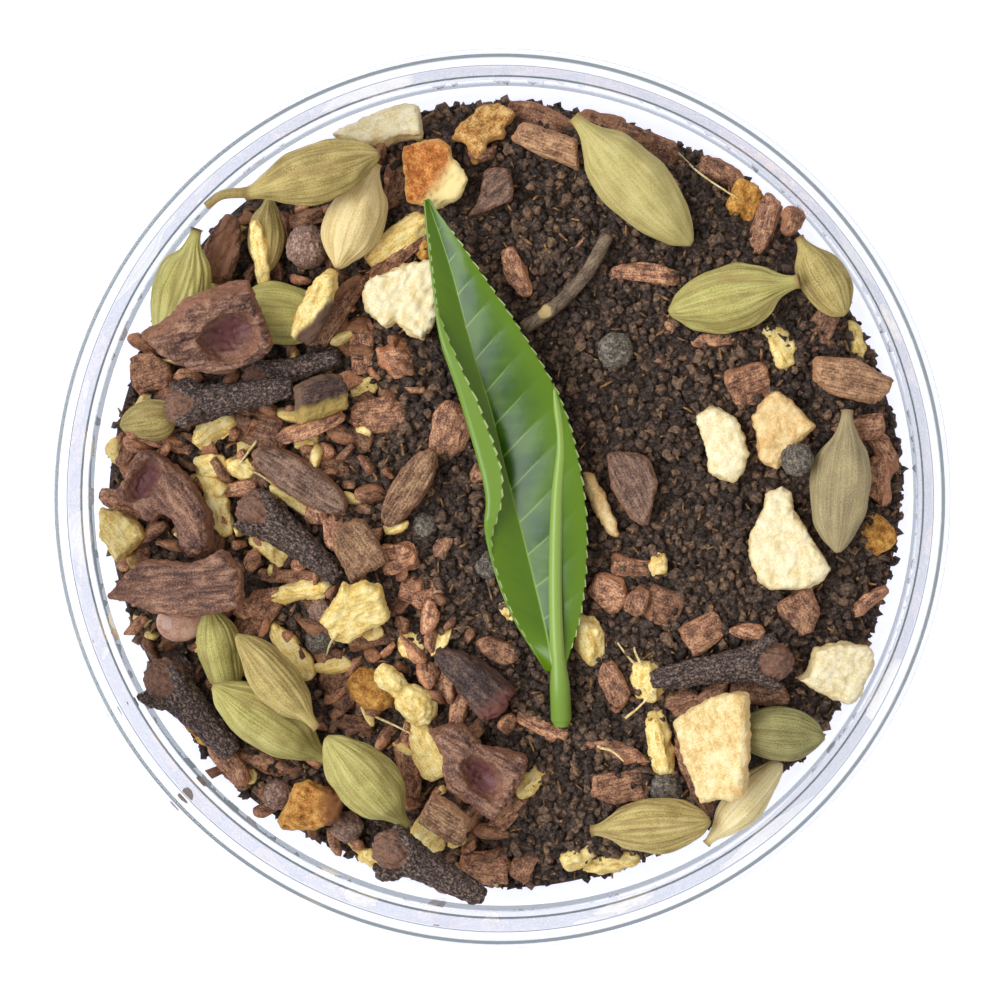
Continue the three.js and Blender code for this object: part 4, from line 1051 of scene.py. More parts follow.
@dataclass
class TeaBed:
    """The heap: a core with the granules' relief, loose granules and fibres on it, and small chips."""

    radius: float = 45.6  # mean radius of the heap's foot
    ragged: float = 0.5
    deep_side: float = 8.2  # level where the tea lies open
    low_side: float = 4.6  # level under the heaped spices
    left_fall: tuple[float, float] = (10.0, 30.0)
    corner_fall: tuple[float, float] = (14.0, 32.0)
    slope: float = 5.5
    floor: float = 2.2
    underside: float = 0.3  # mm from the dish's floor up to the core's underside
    lowest: float = 0.4  # mm from the dish's floor up to the lowest point of its top
    granule: float = 1.25  # usual granule across
    seat: float = 0.45  # how far small pieces stand over the CAD heap, clear of the loose granules
    shade: float = 0.3  # share of granules under a piece that lies clear of the core
    clear: float = 1.5  # least gap under such a piece
    crumbs_from: tuple[float, float] = (8.0, 16.0)  # to the left or lower left: crumbs start, are full
    crumbs_to: tuple[float, float] = (3.0, -3.0)  # right of the middle, where they end
    probe: float = 0.3  # share of a chip's size at which the ground under it is felt
    steepest: float = 0.4  # slope that a chip lies at
    upright: float = 0.05  # least upward share of a face that loose things lie on
    densest: float = 3e6  # loose things on a square metre before their spacing thins them
    rings: int = 170
    seed: int = 41
    chip_seed: int = 100
    loose_seed: int = 160
    berry_seed: int = 200

    def level(self, x: np.ndarray, y: np.ndarray, foot: np.ndarray) -> np.ndarray:
        """Height of the bed's top before its relief.

        Args:
            x: places to the right.
            y: places upwards in the photo.
            foot: the foot's radius at each place.

        Returns:
            One height for each place.
        """
        left = smoothstep(*self.left_fall, -x)
        corner = smoothstep(*self.corner_fall, -(x + y) * math.sqrt(0.5))
        top = self.deep_side + (self.low_side - self.deep_side) * np.maximum(left, corner)
        rise = smoothstep(-0.4 * self.slope, self.slope, foot - np.hypot(x, y))
        return self.floor + (top - self.floor) * rise

    def lumps(self, top: np.ndarray) -> np.ndarray:
        """The granules' relief on the core.

        Args:
            top: points of the core's top.

        Returns:
            What it adds to each point's height.
        """
        drift = np.column_stack([ripples(top, 2.2, self.seed + k, 2) for k in range(3)])
        coarse = pits(top + 0.4 * drift, self.granule, self.seed)
        fine = pits(top, 0.5 * self.granule, self.seed + 1)
        large, small = (np.sqrt(np.maximum(0.0, 1 - (away / 0.75) ** 2)) for away in (coarse, fine))
        return 0.75 * large + 0.25 * small + 0.1 * drift[:, 0] - 0.6

    def ring_triangles(self, first: np.ndarray) -> list[np.ndarray]:
        """Joins the core's rings.

        Args:
            first: number of each ring's first point.

        Returns:
            Stacks of triangles, two for each ring.
        """
        triangles = []
        for k in range(1, self.rings + 1):
            step = np.arange(6 * k)
            sector, place = np.divmod(step, k)
            outer = first[k] + step
            after = first[k] + (step + 1) % (6 * k)
            inside, around = sector * (k - 1) + place, max(6 * (k - 1), 1)
            inner = first[k - 1] + inside % around
            beside = first[k - 1] + (inside + 1) % around
            triangles.append(np.column_stack([inner, outer, after]))
            triangles.append(np.column_stack([inner, after, beside])[place < k - 1])
        return triangles

    def core(self) -> Skin:
        """Makes the core: rings of points, six more in each ring, over a flat underside.

        Returns:
            Its surface, painted with its tone and with where loose things lie on it.
        """
        steps = np.arange(1, self.rings + 1)
        ring = np.concatenate([[0], np.repeat(steps, 6 * steps)])
        first = np.concatenate([[0], 1 + 3 * np.arange(1, self.rings + 2) * np.arange(self.rings + 1)])
        angle = 2 * np.pi * (np.arange(len(ring)) - first[ring]) / np.maximum(6 * ring, 1)
        foot = self.radius + self.ragged * np.sin(5 * angle + 1) * np.cos(3 * angle)
        reach = foot * ring / self.rings
        x, y = reach * np.cos(angle), reach * np.sin(angle)
        top = np.column_stack([x, y, self.level(x, y, foot)])
        top[:, 2] += self.lumps(top) * smoothstep(0.0, 3.0, self.radius - reach)
        top[:, 2] = np.maximum(top[:, 2], self.floor + self.lowest)
        around = 6 * self.rings
        rim = first[self.rings] + np.arange(around)
        under = len(top) + np.arange(around)
        ahead = np.roll(np.arange(around), -1)
        base = top[rim].copy()
        base[:, 2] = self.floor + self.underside
        middle = np.full(around, len(top) + around)
        triangles = self.ring_triangles(first) + [
            np.column_stack([rim, under, under[ahead]]),
            np.column_stack([rim, under[ahead], rim[ahead]]),
            np.column_stack([middle, under[ahead], under]),
        ]
        points = np.vstack([top, base, [[0.0, 0.0, self.floor + self.underside]]])
        tone = 0.35 + 0.3 * ripples(points, 0.9, self.seed, 2)
        sky = self.open_sky(points)
        corner = -(points[:, 0] + points[:, 1]) * math.sqrt(0.5)
        spiced = smoothstep(*self.crumbs_from, np.maximum(-points[:, 0], corner))
        heaped = sky * spiced * smoothstep(*self.crumbs_to, points[:, 0])
        return Skin(points, np.vstack(triangles), {"tone": tone, "open": sky, "heaped": heaped})

    def open_sky(self, points: np.ndarray) -> np.ndarray:
        """How open the core lies.

        Args:
            points: the core's points.

        Returns:
            For each point 1 under the sky, 0 close under a piece.
        """
        over = solids_tree("glass_dish", "tea_bed")
        clear = []
        for point in points.tolist():
            gap = over.ray_cast(Vector(point), -DOWN)[3]
            clear.append(1.0 if gap is None else self.shade * (gap > self.clear))
        return np.array(clear)

    def granule_skin(self, seed: int) -> Skin:
        """One rolled granule about its own middle, a few dozen faces.

        Args:
            seed: varies its form.

        Returns:
            Its surface.
        """
        rise, angle, triangles = ball(4, 6)
        across = np.sqrt(np.maximum(0.0, 1 - rise**2))
        points = np.column_stack([rise, across * np.cos(angle), across * np.sin(angle)])
        points *= 1 + 0.95 * ripples(points, 0.7, seed, 2)[:, None]
        points *= 0.5 * self.granule * np.array([1.2, 1.0, 0.85])
        return Skin(points, triangles)

    def fibre_skin(self, seed: int) -> Skin:
        """One bent sliver of tea stalk about its own middle.

        Args:
            seed: varies its bend.

        Returns:
            Its surface, painted with its grain.
        """
        line = np.array([[-1.0, 0.0, 0.0], [-0.3, 0.03, 0.03], [0.4, -0.02, 0.02], [1.0, 0.04, -0.02]])
        line[:, 1:] += 0.03 * np.sin(seed + np.arange(4))[:, None]
        return tube(line, np.array([0.12, 0.19, 0.17, 0.1]), 5)

    def crumb_skin(self, seed: int) -> Skin:
        """One broken crumb of bark or root about its own middle.

        Args:
            seed: varies its facets and its size.

        Returns:
            Its surface, painted.
        """
        points, triangles = sphere(6, 9)
        random = np.random.default_rng(seed)
        for _ in range(7):
            facing = unit(random.normal(size=3))
            points -= np.maximum(points @ facing - random.uniform(0.3, 0.65), 0.0)[:, None] * facing
        points *= np.array([2.4, 1.6, 1.1]) * random.uniform(0.8, 1.2, 3)
        skin = Skin(points, triangles)
        skin.coat(points + GRAIN_STEP * seed, edge=self.broken_sides(skin))
        return skin

    def broken_sides(self, skin: Skin) -> np.ndarray:
        """Share of the broken colour: on the sides of a flat bit, not on its two faces."""
        return 0.5 * smoothstep(0.75, 0.4, np.abs(skin.normals()[:, 2]))

    def strewing_tree(self, name: str, mask: str, kinds: dict[str, str]) -> bpy.types.NodeTree:
        """The Geometry Nodes tree that strews shapes over the core's top.

        Args:
            name: the tree's name.
            mask: the core's paint that says where they lie.
            kinds: Blender's name for the kind of each of its inputs.

        Returns:
            The tree, whose inputs have no values yet.
        """
        tree = bpy.data.node_groups.new(name, "GeometryNodeTree")
        socket = tree.interface.new_socket
        socket("Geometry", in_out="INPUT", socket_type="NodeSocketGeometry")
        for key, kind in kinds.items():
            socket(key, in_out="INPUT", socket_type=kind)
        socket("Geometry", in_out="OUTPUT", socket_type="NodeSocketGeometry")
        given = add(tree, "NodeGroupInput").outputs
        facing = add(tree, "GeometryNodeInputNormal")
        rising = add(tree, "ShaderNodeSeparateXYZ", {0: facing.outputs[0]}).outputs[2]
        topside = add(tree, "FunctionNodeCompare", {0: rising, 1: self.upright}, operation="GREATER_THAN")
        sky = add(tree, "GeometryNodeInputNamedAttribute", {"Name": mask}, data_type="FLOAT")
        scattered = {
            0: given["Geometry"],
            1: topside.outputs[0],
            "Distance Min": given["Spacing"],
            "Density Max": self.densest,
            "Density Factor": sky.outputs[0],
            "Seed": given["Seed"],
        }
        dots = add(tree, "GeometryNodeDistributePointsOnFaces", scattered, distribute_method="POISSON")
        rise = add(tree, "ShaderNodeCombineXYZ", {2: given["Lift"]})
        lifted = add(tree, "GeometryNodeSetPosition", {0: dots.outputs["Points"], "Offset": rise.outputs[0]})
        stocked = {0: given["Stock"], "Separate Children": True, "Reset Children": True}
        forms = add(tree, "GeometryNodeCollectionInfo", stocked)
        turn = {0: (0.0, 0.0, 0.0), 1: (math.tau, math.tau, math.tau), "Seed": given["Seed"]}
        turned = add(tree, "FunctionNodeRandomValue", turn, data_type="FLOAT_VECTOR")
        span = {2: given["Smallest"], 3: given["Largest"], "Seed": given["Seed"]}
        scaled = add(tree, "FunctionNodeRandomValue", span, data_type="FLOAT")
        picked = {
            "Points": lifted.outputs[0],
            "Instance": forms.outputs[0],
            "Pick Instance": True,
            "Rotation": turned.outputs[0],
            "Scale": scaled.outputs[1],
        }
        laid = add(tree, "GeometryNodeInstanceOnPoints", picked)
        shade = add(tree, "FunctionNodeRandomValue", {2: 0.0, 3: 1.0, "Seed": 7}, data_type="FLOAT")
        own = {0: laid.outputs[0], "Name": "tone", "Value": shade.outputs[1]}
        toned = add(tree, "GeometryNodeStoreNamedAttribute", own, domain="INSTANCE")
        real = add(tree, "GeometryNodeRealizeInstances", {0: toned.outputs[0]})
        dressed = add(tree, "GeometryNodeSetMaterial", {0: real.outputs[0], "Material": given["Material"]})
        add(tree, "NodeGroupOutput", {0: dressed.outputs[0]})
        return tree

    def strewn(self, core: bpy.types.Object, look: Strewing, shapes: Sequence[Skin]) -> None:
        """Strews shapes over the core's top and keeps the result as one mesh.

        Args:
            core: what they lie on.
            look: how they lie.
            shapes: forms that they are picked from.
        """
        stock = bpy.data.collections.new(look.name + " stock")
        for k, shape in enumerate(shapes):
            name = f"{look.name}_{k}"
            stock.objects.link(bpy.data.objects.new(name, shape.mesh(name)))
        smallest, largest = look.sizes
        wanted = {
            "Spacing": ("NodeSocketFloat", look.spacing * MM),
            "Smallest": ("NodeSocketFloat", smallest),
            "Largest": ("NodeSocketFloat", largest),
            "Lift": ("NodeSocketFloat", look.lift * MM),
            "Seed": ("NodeSocketInt", self.seed),
            "Stock": ("NodeSocketCollection", stock),
            "Material": ("NodeSocketMaterial", look.finish.material()),
        }
        kinds = {key: kind for key, (kind, _) in wanted.items()}
        strewer = core.modifiers.new(look.name, "NODES")
        strewer.node_group = self.strewing_tree(look.name + " strewn", look.mask, kinds)
        for socket in strewer.node_group.interface.items_tree:
            if socket.name in wanted:
                strewer[socket.identifier] = wanted[socket.name][1]
        mesh = evaluated_mesh(core)
        core.modifiers.remove(strewer)
        mesh.name = look.name
        enlist(placed_object(look.name, mesh), look.finish, "tea_bed")
        for spent in list(stock.objects):
            bpy.data.objects.remove(spent)
        bpy.data.collections.remove(stock)

    def chip_lie(self, chip: Chip, ground: BVHTree, thickness: float, lift: float = 0.0) -> Lie:
        """How a small chip lies: flat on what the CAD solids have there.

        Args:
            chip: the chip.
            ground: the CAD solids.
            thickness: the chip's own.
            lift: how far its top stands over theirs.

        Returns:
            Its lie.
        """
        along = heading(chip.turn)
        across = np.cross(UP, along)
        middle = np.array([chip.x, chip.y, 0.0])
        samples = []
        for u in (-self.probe, 0.0, self.probe):
            for v in (-self.probe, 0.0, self.probe):
                spot = middle + u * chip.length * along + v * chip.width * across
                hit = met_from_above(ground, *spot[:2])
                if hit:
                    samples.append((u * chip.length, v * chip.width, hit.z))
        rows = np.array(samples)
        system = np.column_stack([rows[:, 0], rows[:, 1], np.ones(len(rows))])
        pitch, roll, top = np.linalg.lstsq(system, rows[:, 2], rcond=None)[0]
        pitch, roll = np.clip([pitch, roll], -self.steepest, self.steepest)
        through = unit(UP - pitch * along - roll * across)
        forward = unit(along - through * (along @ through))
        middle[2] = max(np.median(rows[:, 2]), top) - 0.5 * thickness + lift
        size = np.array([chip.length, chip.width, thickness])
        return Lie(middle, np.vstack([forward, np.cross(through, forward), through]), size)

    def chip_skin(self, chip: Chip, lie: Lie, seed: int) -> Skin:
        """A small chip: a block with broken facets, or a lumpy bit of root.

        Args:
            chip: the chip.
            lie: how it lies.
            seed: varies its facets.

        Returns:
            Its surface.
        """
        rise, angle, triangles = ball(26, 40)
        random = np.random.default_rng(seed)
        bark = chip.kind is ChipKind.BARK
        blunt = random.uniform(0.3, 0.6) if bark else 0.8
        facets, wave, depth = (6, (2.0, 0.5, 0.5), 0.18) if bark else (3, (1.4, 0.9, 0.9), 0.3)
        slant = np.arcsin(np.clip(rise, -1, 1))
        span = np.maximum(np.cos(slant), 0.0) ** blunt
        aside, over = (span * signed_power(part, blunt) for part in (np.cos(angle), np.sin(angle)))
        shape = np.column_stack([signed_power(np.sin(slant), blunt), aside, over])
        for _ in range(facets):
            facing = unit(random.normal(size=3) * np.array([1.0, 1.0, 0.5]))
            beyond = shape @ facing - random.uniform(0.68, 1.0)
            shape -= np.maximum(beyond, 0.0)[:, None] * facing
        local = shape * lie.size / 2
        skin = Skin(local, triangles)
        sides = self.broken_sides(skin)
        skin.push(0.09 * chip.width * ripples(local, 0.7 * chip.width, seed + 40, 2))
        skin.push(depth * ripples(local, wave, seed, 3))
        skin.coat(local + GRAIN_STEP * seed, edge=sides, tone=chip.tone)
        skin.points = lie.placed(skin.points)
        return skin

    def berry_skin(self, chip: Chip, ground: BVHTree, seed: int) -> Skin:
        """A small berry seated in the tea.

        Args:
            chip: the berry.
            ground: the CAD heap.
            seed: varies its wrinkles.

        Returns:
            Its surface, painted.
        """
        skin = wrinkled_berry(np.array([chip.length, chip.length, chip.width]), seed, 34)
        height = met_from_above(ground, chip.x, chip.y).z - 0.5 * chip.width + self.seat
        skin.points += np.array([chip.x, chip.y, height])
        return skin

    def build(self) -> None:
        """Makes the heap."""
        core = show(self.core(), "tea_core", TEA, "tea_bed", "tea_bed")
        self.strewn(core, GRANULES, [self.granule_skin(seed) for seed in range(3, 10)])
        self.strewn(core, FIBRES, [self.fibre_skin(seed) for seed in range(3)])
        self.strewn(core, BARK_CRUMBS, [self.crumb_skin(seed) for seed in range(2, 8)])
        self.strewn(core, ROOT_CRUMBS, [self.crumb_skin(seed) for seed in range(6, 12)])
        ground = Skin.of_node("tea_bed").tree()
        heaped = solids_tree("glass_dish", "tea_shoot")
        flat = {
            ChipKind.BARK: (2.1, BARK_CHIPS),
            ChipKind.ROOT: (2.4, ROOT_BITS),
            ChipKind.PEEL: (1.9, PEEL_BITS),
        }
        for kind, (thickness, finish) in flat.items():
            made = [
                self.chip_skin(chip, self.chip_lie(chip, ground, thickness, self.seat), seed)
                for seed, chip in enumerate((c for c in CHIPS if c.kind is kind), self.chip_seed)
            ]
            for seed, chip in enumerate((c for c in LOOSE_CHIPS if c.kind is kind), self.loose_seed):
                slim = min(thickness, 0.8 * chip.width)
                lie = self.chip_lie(chip, heaped, slim, 0.6 * slim)
                made.append(self.chip_skin(chip, lie, seed))
            show(Skin.joined(made), f"small_{kind.value}_chips", finish, "tea_bed")
        for kind, finish in ((ChipKind.PEPPER, PEPPER), (ChipKind.ALLSPICE, ALLSPICE)):
            made = [
                self.berry_skin(chip, ground, seed)
                for seed, chip in enumerate((c for c in CHIPS if c.kind is kind), self.berry_seed)
            ]
            show(Skin.joined(made), f"small_{kind.value}_berries", finish, "tea_bed")


def wrinkled_berry(size: np.ndarray, seed: int, rings: int) -> Skin:
    """A dried berry about its own middle, its skin shrunk to wrinkles.

    Args:
        size: its length, width and height.
        seed: varies its wrinkles.
        rings: how fine its net is.

    Returns:
        Its surface, painted.
    """
    points, triangles = sphere(rings, 2 * rings)
    points = 0.5 * points * size
    skin = Skin(points, triangles)
    fold = np.abs(ripples(points, 0.9, seed, 2))
    skin.push(0.3 * fold - 0.16 + 0.12 * ripples(points, 2.0, seed + 1, 2))
    skin.coat(points + GRAIN_STEP * seed, edge=0.5 * smoothstep(0.12, 0.0, fold), tone=0.5)
    return skin


# Spices laid on the tea


@dataclass(frozen=True)
class PodLook:
    """One cardamom pod: where its neck points, its husk, how deep its ribs are, and any stalk."""

    turn: float
    husk: DriedPlant
    ribs: float = 0.06  # mm
    stalk: float = 0.0  # mm


@dataclass
class CardamomPods:
    """Pods: three-sided spindles with a beak, fine ribs and a short neck with a cut end."""

    looks: tuple[PodLook, ...] = (
        PodLook(86, POD_OLIVE), PodLook(74, POD_FRESH, 0.09), PodLook(177, POD_FRESH, 0.08),
        PodLook(70, POD_PALE, 0.05), PodLook(197, POD_OLIVE, 0.08, 4.4), PodLook(10, POD_OLIVE),
        PodLook(102, POD_GREEN, 0.08), PodLook(-36, POD_GREEN, 0.06), PodLook(-49, POD_OLIVE, 0.06),
        PodLook(-51, POD_GREEN, 0.06), PodLook(133, POD_SMOOTH, 0.02), PodLook(120, POD_OLIVE),
        PodLook(13, POD_GREEN, 0.09), PodLook(86, POD_GREY, 0.03), PodLook(175, POD_DARK, 0.05),
        PodLook(226, POD_BONE, 0.03), PodLook(186, POD_OLIVE, 0.08),
    )
    profile: tuple[tuple[float, float], ...] = (
        (-1.0, 0.06), (-0.97, 0.15), (-0.84, 0.43), (-0.62, 0.73), (-0.4, 0.91), (-0.15, 0.99), (0.05, 1.0),
        (0.25, 0.92), (0.44, 0.75), (0.62, 0.47), (0.76, 0.29), (0.9, 0.2), (1.0, 0.23),
    )
    cut_end: float = 0.35  # mm that the neck's end is sunk
    rib_count: int = 26
    rings: int = 96
    sides: int = 104

    def pod(self, lie: Lie, look: PodLook, seed: int) -> Skin:
        """One pod.

        Args:
            lie: how it lies.
            look: its looks.
            seed: varies its dents.

        Returns:
            Its surface, painted.
        """
        length, width, thickness = lie.size - np.array([look.stalk, 0.0, 0.0])
        rise, angle, triangles = ball(self.rings, self.sides)
        knots = curve(self.profile, 200)
        reach = np.interp(rise, knots[:, 0], knots[:, 1])
        lobe = 1 + 0.05 * np.cos(3 * angle + math.pi / 2)
        local = np.column_stack(
            [
                0.5 * length * rise - 0.5 * look.stalk,
                0.5 * width * reach * lobe * np.cos(angle),
                0.5 * thickness * reach * lobe * np.sin(angle),
            ]
        )
        local[rise == 1.0] -= np.array([self.cut_end, 0.0, 0.0])
        skin = Skin(local, triangles)
        arc = 0.5 * width * angle
        course = np.column_stack([local[:, 0], 0.5 * width * np.cos(angle), 0.5 * width * np.sin(angle)])
        wander = 1.75 * ripples(course, (6.0, 3.0, 3.0), seed, 2)
        ribs = np.abs(np.sin(0.5 * self.rib_count * angle + wander)) ** 0.7
        swell = ripples(local * np.array([0.4, 1.0, 1.0]), 3.0, seed + 30, 2)
        ribs = 0.7 * np.clip(0.7 + 1.6 * swell, 0.05, 1.6) * (ribs - 0.6)
        crease = smoothstep(0.22, 0.0, np.abs(ripples(course, (16.0, 1.6, 1.6), seed + 70, 2)))
        dents = 0.5 * ripples(local, (6.0, 3.5, 3.5), seed + 50, 2)
        seam = np.cos(3 * angle - math.pi / 2) > 0.985
        body = smoothstep(0.1, 0.5, reach)
        skin.push(body * (look.ribs * (ribs - 2.2 * crease) + dents - 0.1 * seam))
        end = np.maximum(smoothstep(0.86, 0.98, rise), 0.6 * smoothstep(-0.94, -0.99, rise))
        # Brown at the ends and along the seam, as husks go; in the creases the same brown is painted shade.
        brown = np.clip(0.9 * end + 0.3 * seam + 6.0 * look.ribs * crease * body, 0, 1)
        skin.coat(np.column_stack([local[:, 0], arc, np.full(len(arc), GRAIN_STEP * seed)]), edge=brown)
        if look.stalk:
            skin = Skin.joined([skin, self.stalk(look.stalk, 0.5 * (length - look.stalk))])
        skin.points = lie.placed(skin.points)
        return skin

    def stalk(self, length: float, start: float) -> Skin:
        """The bent stalk of a pod, in the pod's own axes.

        Args:
            length: how far it reaches past the neck.
            start: where the neck ends.

        Returns:
            Its surface, painted.
        """
        knee = [[start - 1, 0, 0], [start + 0.5 * length, -0.15 * length, 0], [start + length, 0, 0]]
        stalk = tube(curve(knee, 24), np.linspace(0.62, 0.45, 24), 14)
        stalk.coat(stalk.paint["grain"], edge=0.35)
        return stalk

    def build(self) -> None:
        """Makes the pods."""
        for k, look in enumerate(self.looks, start=1):
            node = f"cardamom_pod_{k}"
            lie = Lie.of_solid(Skin.of_node(node), heading(look.turn), flat=False)
            show(self.pod(lie, look, k), f"pod_{k}", look.husk, "cardamom_pod", node)


@dataclass
class Cloves:
    """Cloves: a tapering gritty stem, four spread sepals and the round unopened bud."""

    turns: tuple[float, ...] = (195, 190, 141, 133, 151, 9)
    widths: tuple[float, ...] = (3.3, 4.1, 4.4, 4.5, 4.2, 4.1)
    stem: tuple[tuple[float, float], ...] = (  # share of its length, and radius as a share of the width
        (0, 0.2), (0.1, 0.3), (0.45, 0.38), (0.8, 0.47), (0.93, 0.54), (1, 0.4),
    )
    sepal: tuple[tuple[float, float], ...] = (  # shares of the width along and out from the stem
        (0.0, 0.2), (0.2, 0.52), (0.48, 0.78), (0.74, 0.84),
    )
    steps: int = 30
    sides: int = 28
    cell: float = 0.15

    def clove(self, lie: Lie, width: float, seed: int) -> Skin:
        """One clove.

        Args:
            lie: how it lies.
            width: across its collar.
            seed: varies its wrinkles.

        Returns:
            Its surface, painted.
        """
        length = lie.size[0]
        bud = 0.56 * width
        collar = length / 2 - 1.75 * bud
        line = np.zeros((self.steps, 3))
        line[:, 0] = np.linspace(-length / 2, collar + 0.5, self.steps)
        places = curve(self.stem, 2 * self.steps)
        reach = np.interp(np.linspace(0, 1, self.steps), places[:, 0], places[:, 1])
        stem = tube(line, width * reach, self.sides)
        round_bud, triangles = sphere(18, self.sides)
        middle = np.array([length / 2 - bud, 0.0, 0.0])
        head = Skin(bud * round_bud + middle, triangles)
        shells = [Skin(stem.points, stem.triangles), head]
        ahead = np.array([1.0, 0.0, 0.0])
        root = collar - 0.15 * width
        for k in range(4):
            turn = math.pi / 2 * (k + 0.5) + 0.25 * math.sin(seed + k)
            out = np.array([0.0, math.cos(turn), math.sin(turn)])
            path = [width * (along * ahead + away * out) + root * ahead for along, away in self.sepal]
            sepal = tube(curve(path, 14), width * np.linspace(0.24, 0.09, 14), 12)
            shells.append(Skin(sepal.points, sepal.triangles))
        skin = Skin.joined(shells).recast(self.cell)
        skin.relax(2)
        local = skin.points
        on_bud = smoothstep(1.12, 1.02, np.linalg.norm(local - middle, axis=1) / bud)
        grit = ripples(local, 0.45, seed, 2)
        folds = np.abs(ripples(local, (2.5, 0.8, 0.8), seed + 9, 2))
        gritty = 0.16 * grit + 0.3 * (folds - 0.25)
        wrinkled = 0.5 * folds - 0.2 + 0.06 * grit
        skin.push((1 - on_bud) * gritty + on_bud * wrinkled)
        skin.coat(local + GRAIN_STEP * seed, edge=on_bud * (0.6 + 0.3 * np.clip(2 * grit, -1, 1)))
        skin.points = lie.placed(skin.points)
        return skin

    def build(self) -> None:
        """Makes the cloves."""
        for k, (turn, width) in enumerate(zip(self.turns, self.widths), start=1):
            node = f"clove_{k}"
            lie = Lie.of_solid(Skin.of_node(node), heading(turn), flat=False)
            show(self.clove(lie, width, k), f"clove_bud_{k}", CLOVE, "clove", node)


@dataclass(frozen=True)
class Relief:
    """How a broken piece's surface is worked: sizes of its ripples and how deep they go, in millimetres."""

    wave: tuple[float, float, float]
    depth: float
    grit: float
    pitted: float = 0.0
    folded: float = 0.0
    rounds: int = 3  # of evening out the CAD solid's corners
    plain: bool = False  # one colour all round
    hollow: bool = False  # split open, its hollows worn smooth


@dataclass(frozen=True)
class BrokenLook:
    """One broken piece: the heading of its grain, its finish and its relief."""

    turn: float
    finish: DriedPlant
    relief: Relief
    fade: tuple[float, float, float] | None = None  # heading, start and end of its second colour, in mm
    cut: tuple[float, float, float] | None = None  # middle and radius of a cut face on top, in mm


ROUGH_GINGER = Relief((1.8, 1.8, 0.9), 0.2, 0.17, rounds=2)
RAGGED_GINGER = Relief((1.6, 1.6, 1.2), 0.32, 0.2, rounds=2)
BARK_GRAIN = Relief((4.0, 0.8, 0.8), 0.16, 0.1, folded=0.16, rounds=2)
WRINKLED = Relief((4.0, 1.3, 1.3), 0.3, 0.12, folded=0.3, rounds=5, hollow=True)
PEEL_SKIN = Relief((2.4, 2.4, 1.4), 0.35, 0.12, pitted=0.35)
ROUND_TWIG = Relief((3.0, 0.6, 0.6), 0.07, 0.03, rounds=10, plain=True)
ROOT_KNOB = Relief((1.5, 1.2, 1.2), 0.35, 0.12, rounds=8, plain=True)

# Looks of the broken pieces by the CAD nodes' kind, in the order of their numbers.
BROKEN = {
    "ginger_slice": (
        BrokenLook(15, GINGER_CREAM, ROUGH_GINGER),
        BrokenLook(66, GINGER_YELLOW, RAGGED_GINGER, (-45, 0.5, 1.2)),
        BrokenLook(-52, GINGER_YELLOW, ROUGH_GINGER),
        BrokenLook(78, GINGER_CREAM, RAGGED_GINGER),
        BrokenLook(22, GINGER_YELLOW, ROUGH_GINGER),
        BrokenLook(-66, GINGER_TAN, ROUGH_GINGER),
        BrokenLook(78, GINGER_TAN, ROUGH_GINGER),
        BrokenLook(-72, GINGER_CREAM, ROUGH_GINGER),
        BrokenLook(98, GINGER_CREAM, ROUGH_GINGER),
        BrokenLook(-20, GINGER_CREAM, ROUGH_GINGER),
        BrokenLook(-80, GINGER_SLAB, ROUGH_GINGER),
    ),
    "ginger_knob": (BrokenLook(-43, GINGER_YELLOW, ROOT_KNOB),),
    "peel": (
        BrokenLook(38, PEEL_LACE, PEEL_SKIN),
        BrokenLook(-28, PEEL_ORANGE, PEEL_SKIN, (-35, 0.4, 2.0)),
        BrokenLook(-18, PEEL_AMBER, PEEL_SKIN, (0, 0.6, 2.4)),
    ),
    "bark_chip": (
        BrokenLook(12, BARK_DARK, BARK_GRAIN, (-75, 0.3, 1.1)),
        BrokenLook(-33, BARK_GREY, BARK_GRAIN),
        BrokenLook(-55, BARK_BROWN, BARK_GRAIN),
        BrokenLook(57, BARK_BROWN, BARK_GRAIN),
        BrokenLook(-38, BARK_BROWN, BARK_GRAIN),
        BrokenLook(40, BARK_GREY, BARK_GRAIN),
        BrokenLook(-20, BARK_ORANGE, BARK_GRAIN),
        BrokenLook(-63, BARK_GREY, BARK_GRAIN),
        BrokenLook(-12, BARK_ORANGE, BARK_GRAIN),
    ),
    "star_anise": (
        BrokenLook(75, STAR_ANISE, WRINKLED),
        BrokenLook(184, STAR_ANISE, WRINKLED),
        BrokenLook(-50, STAR_ANISE, WRINKLED),
        BrokenLook(184, STAR_ANISE, WRINKLED),
        BrokenLook(140, ANISE_DARK, WRINKLED, (-45, 2.0, 5.0)),
        BrokenLook(150, STAR_ANISE, WRINKLED),
    ),
    "twig": (BrokenLook(46, TWIG_BARK, ROUND_TWIG, cut=(4.95, 21.2, 0.8)),),
}


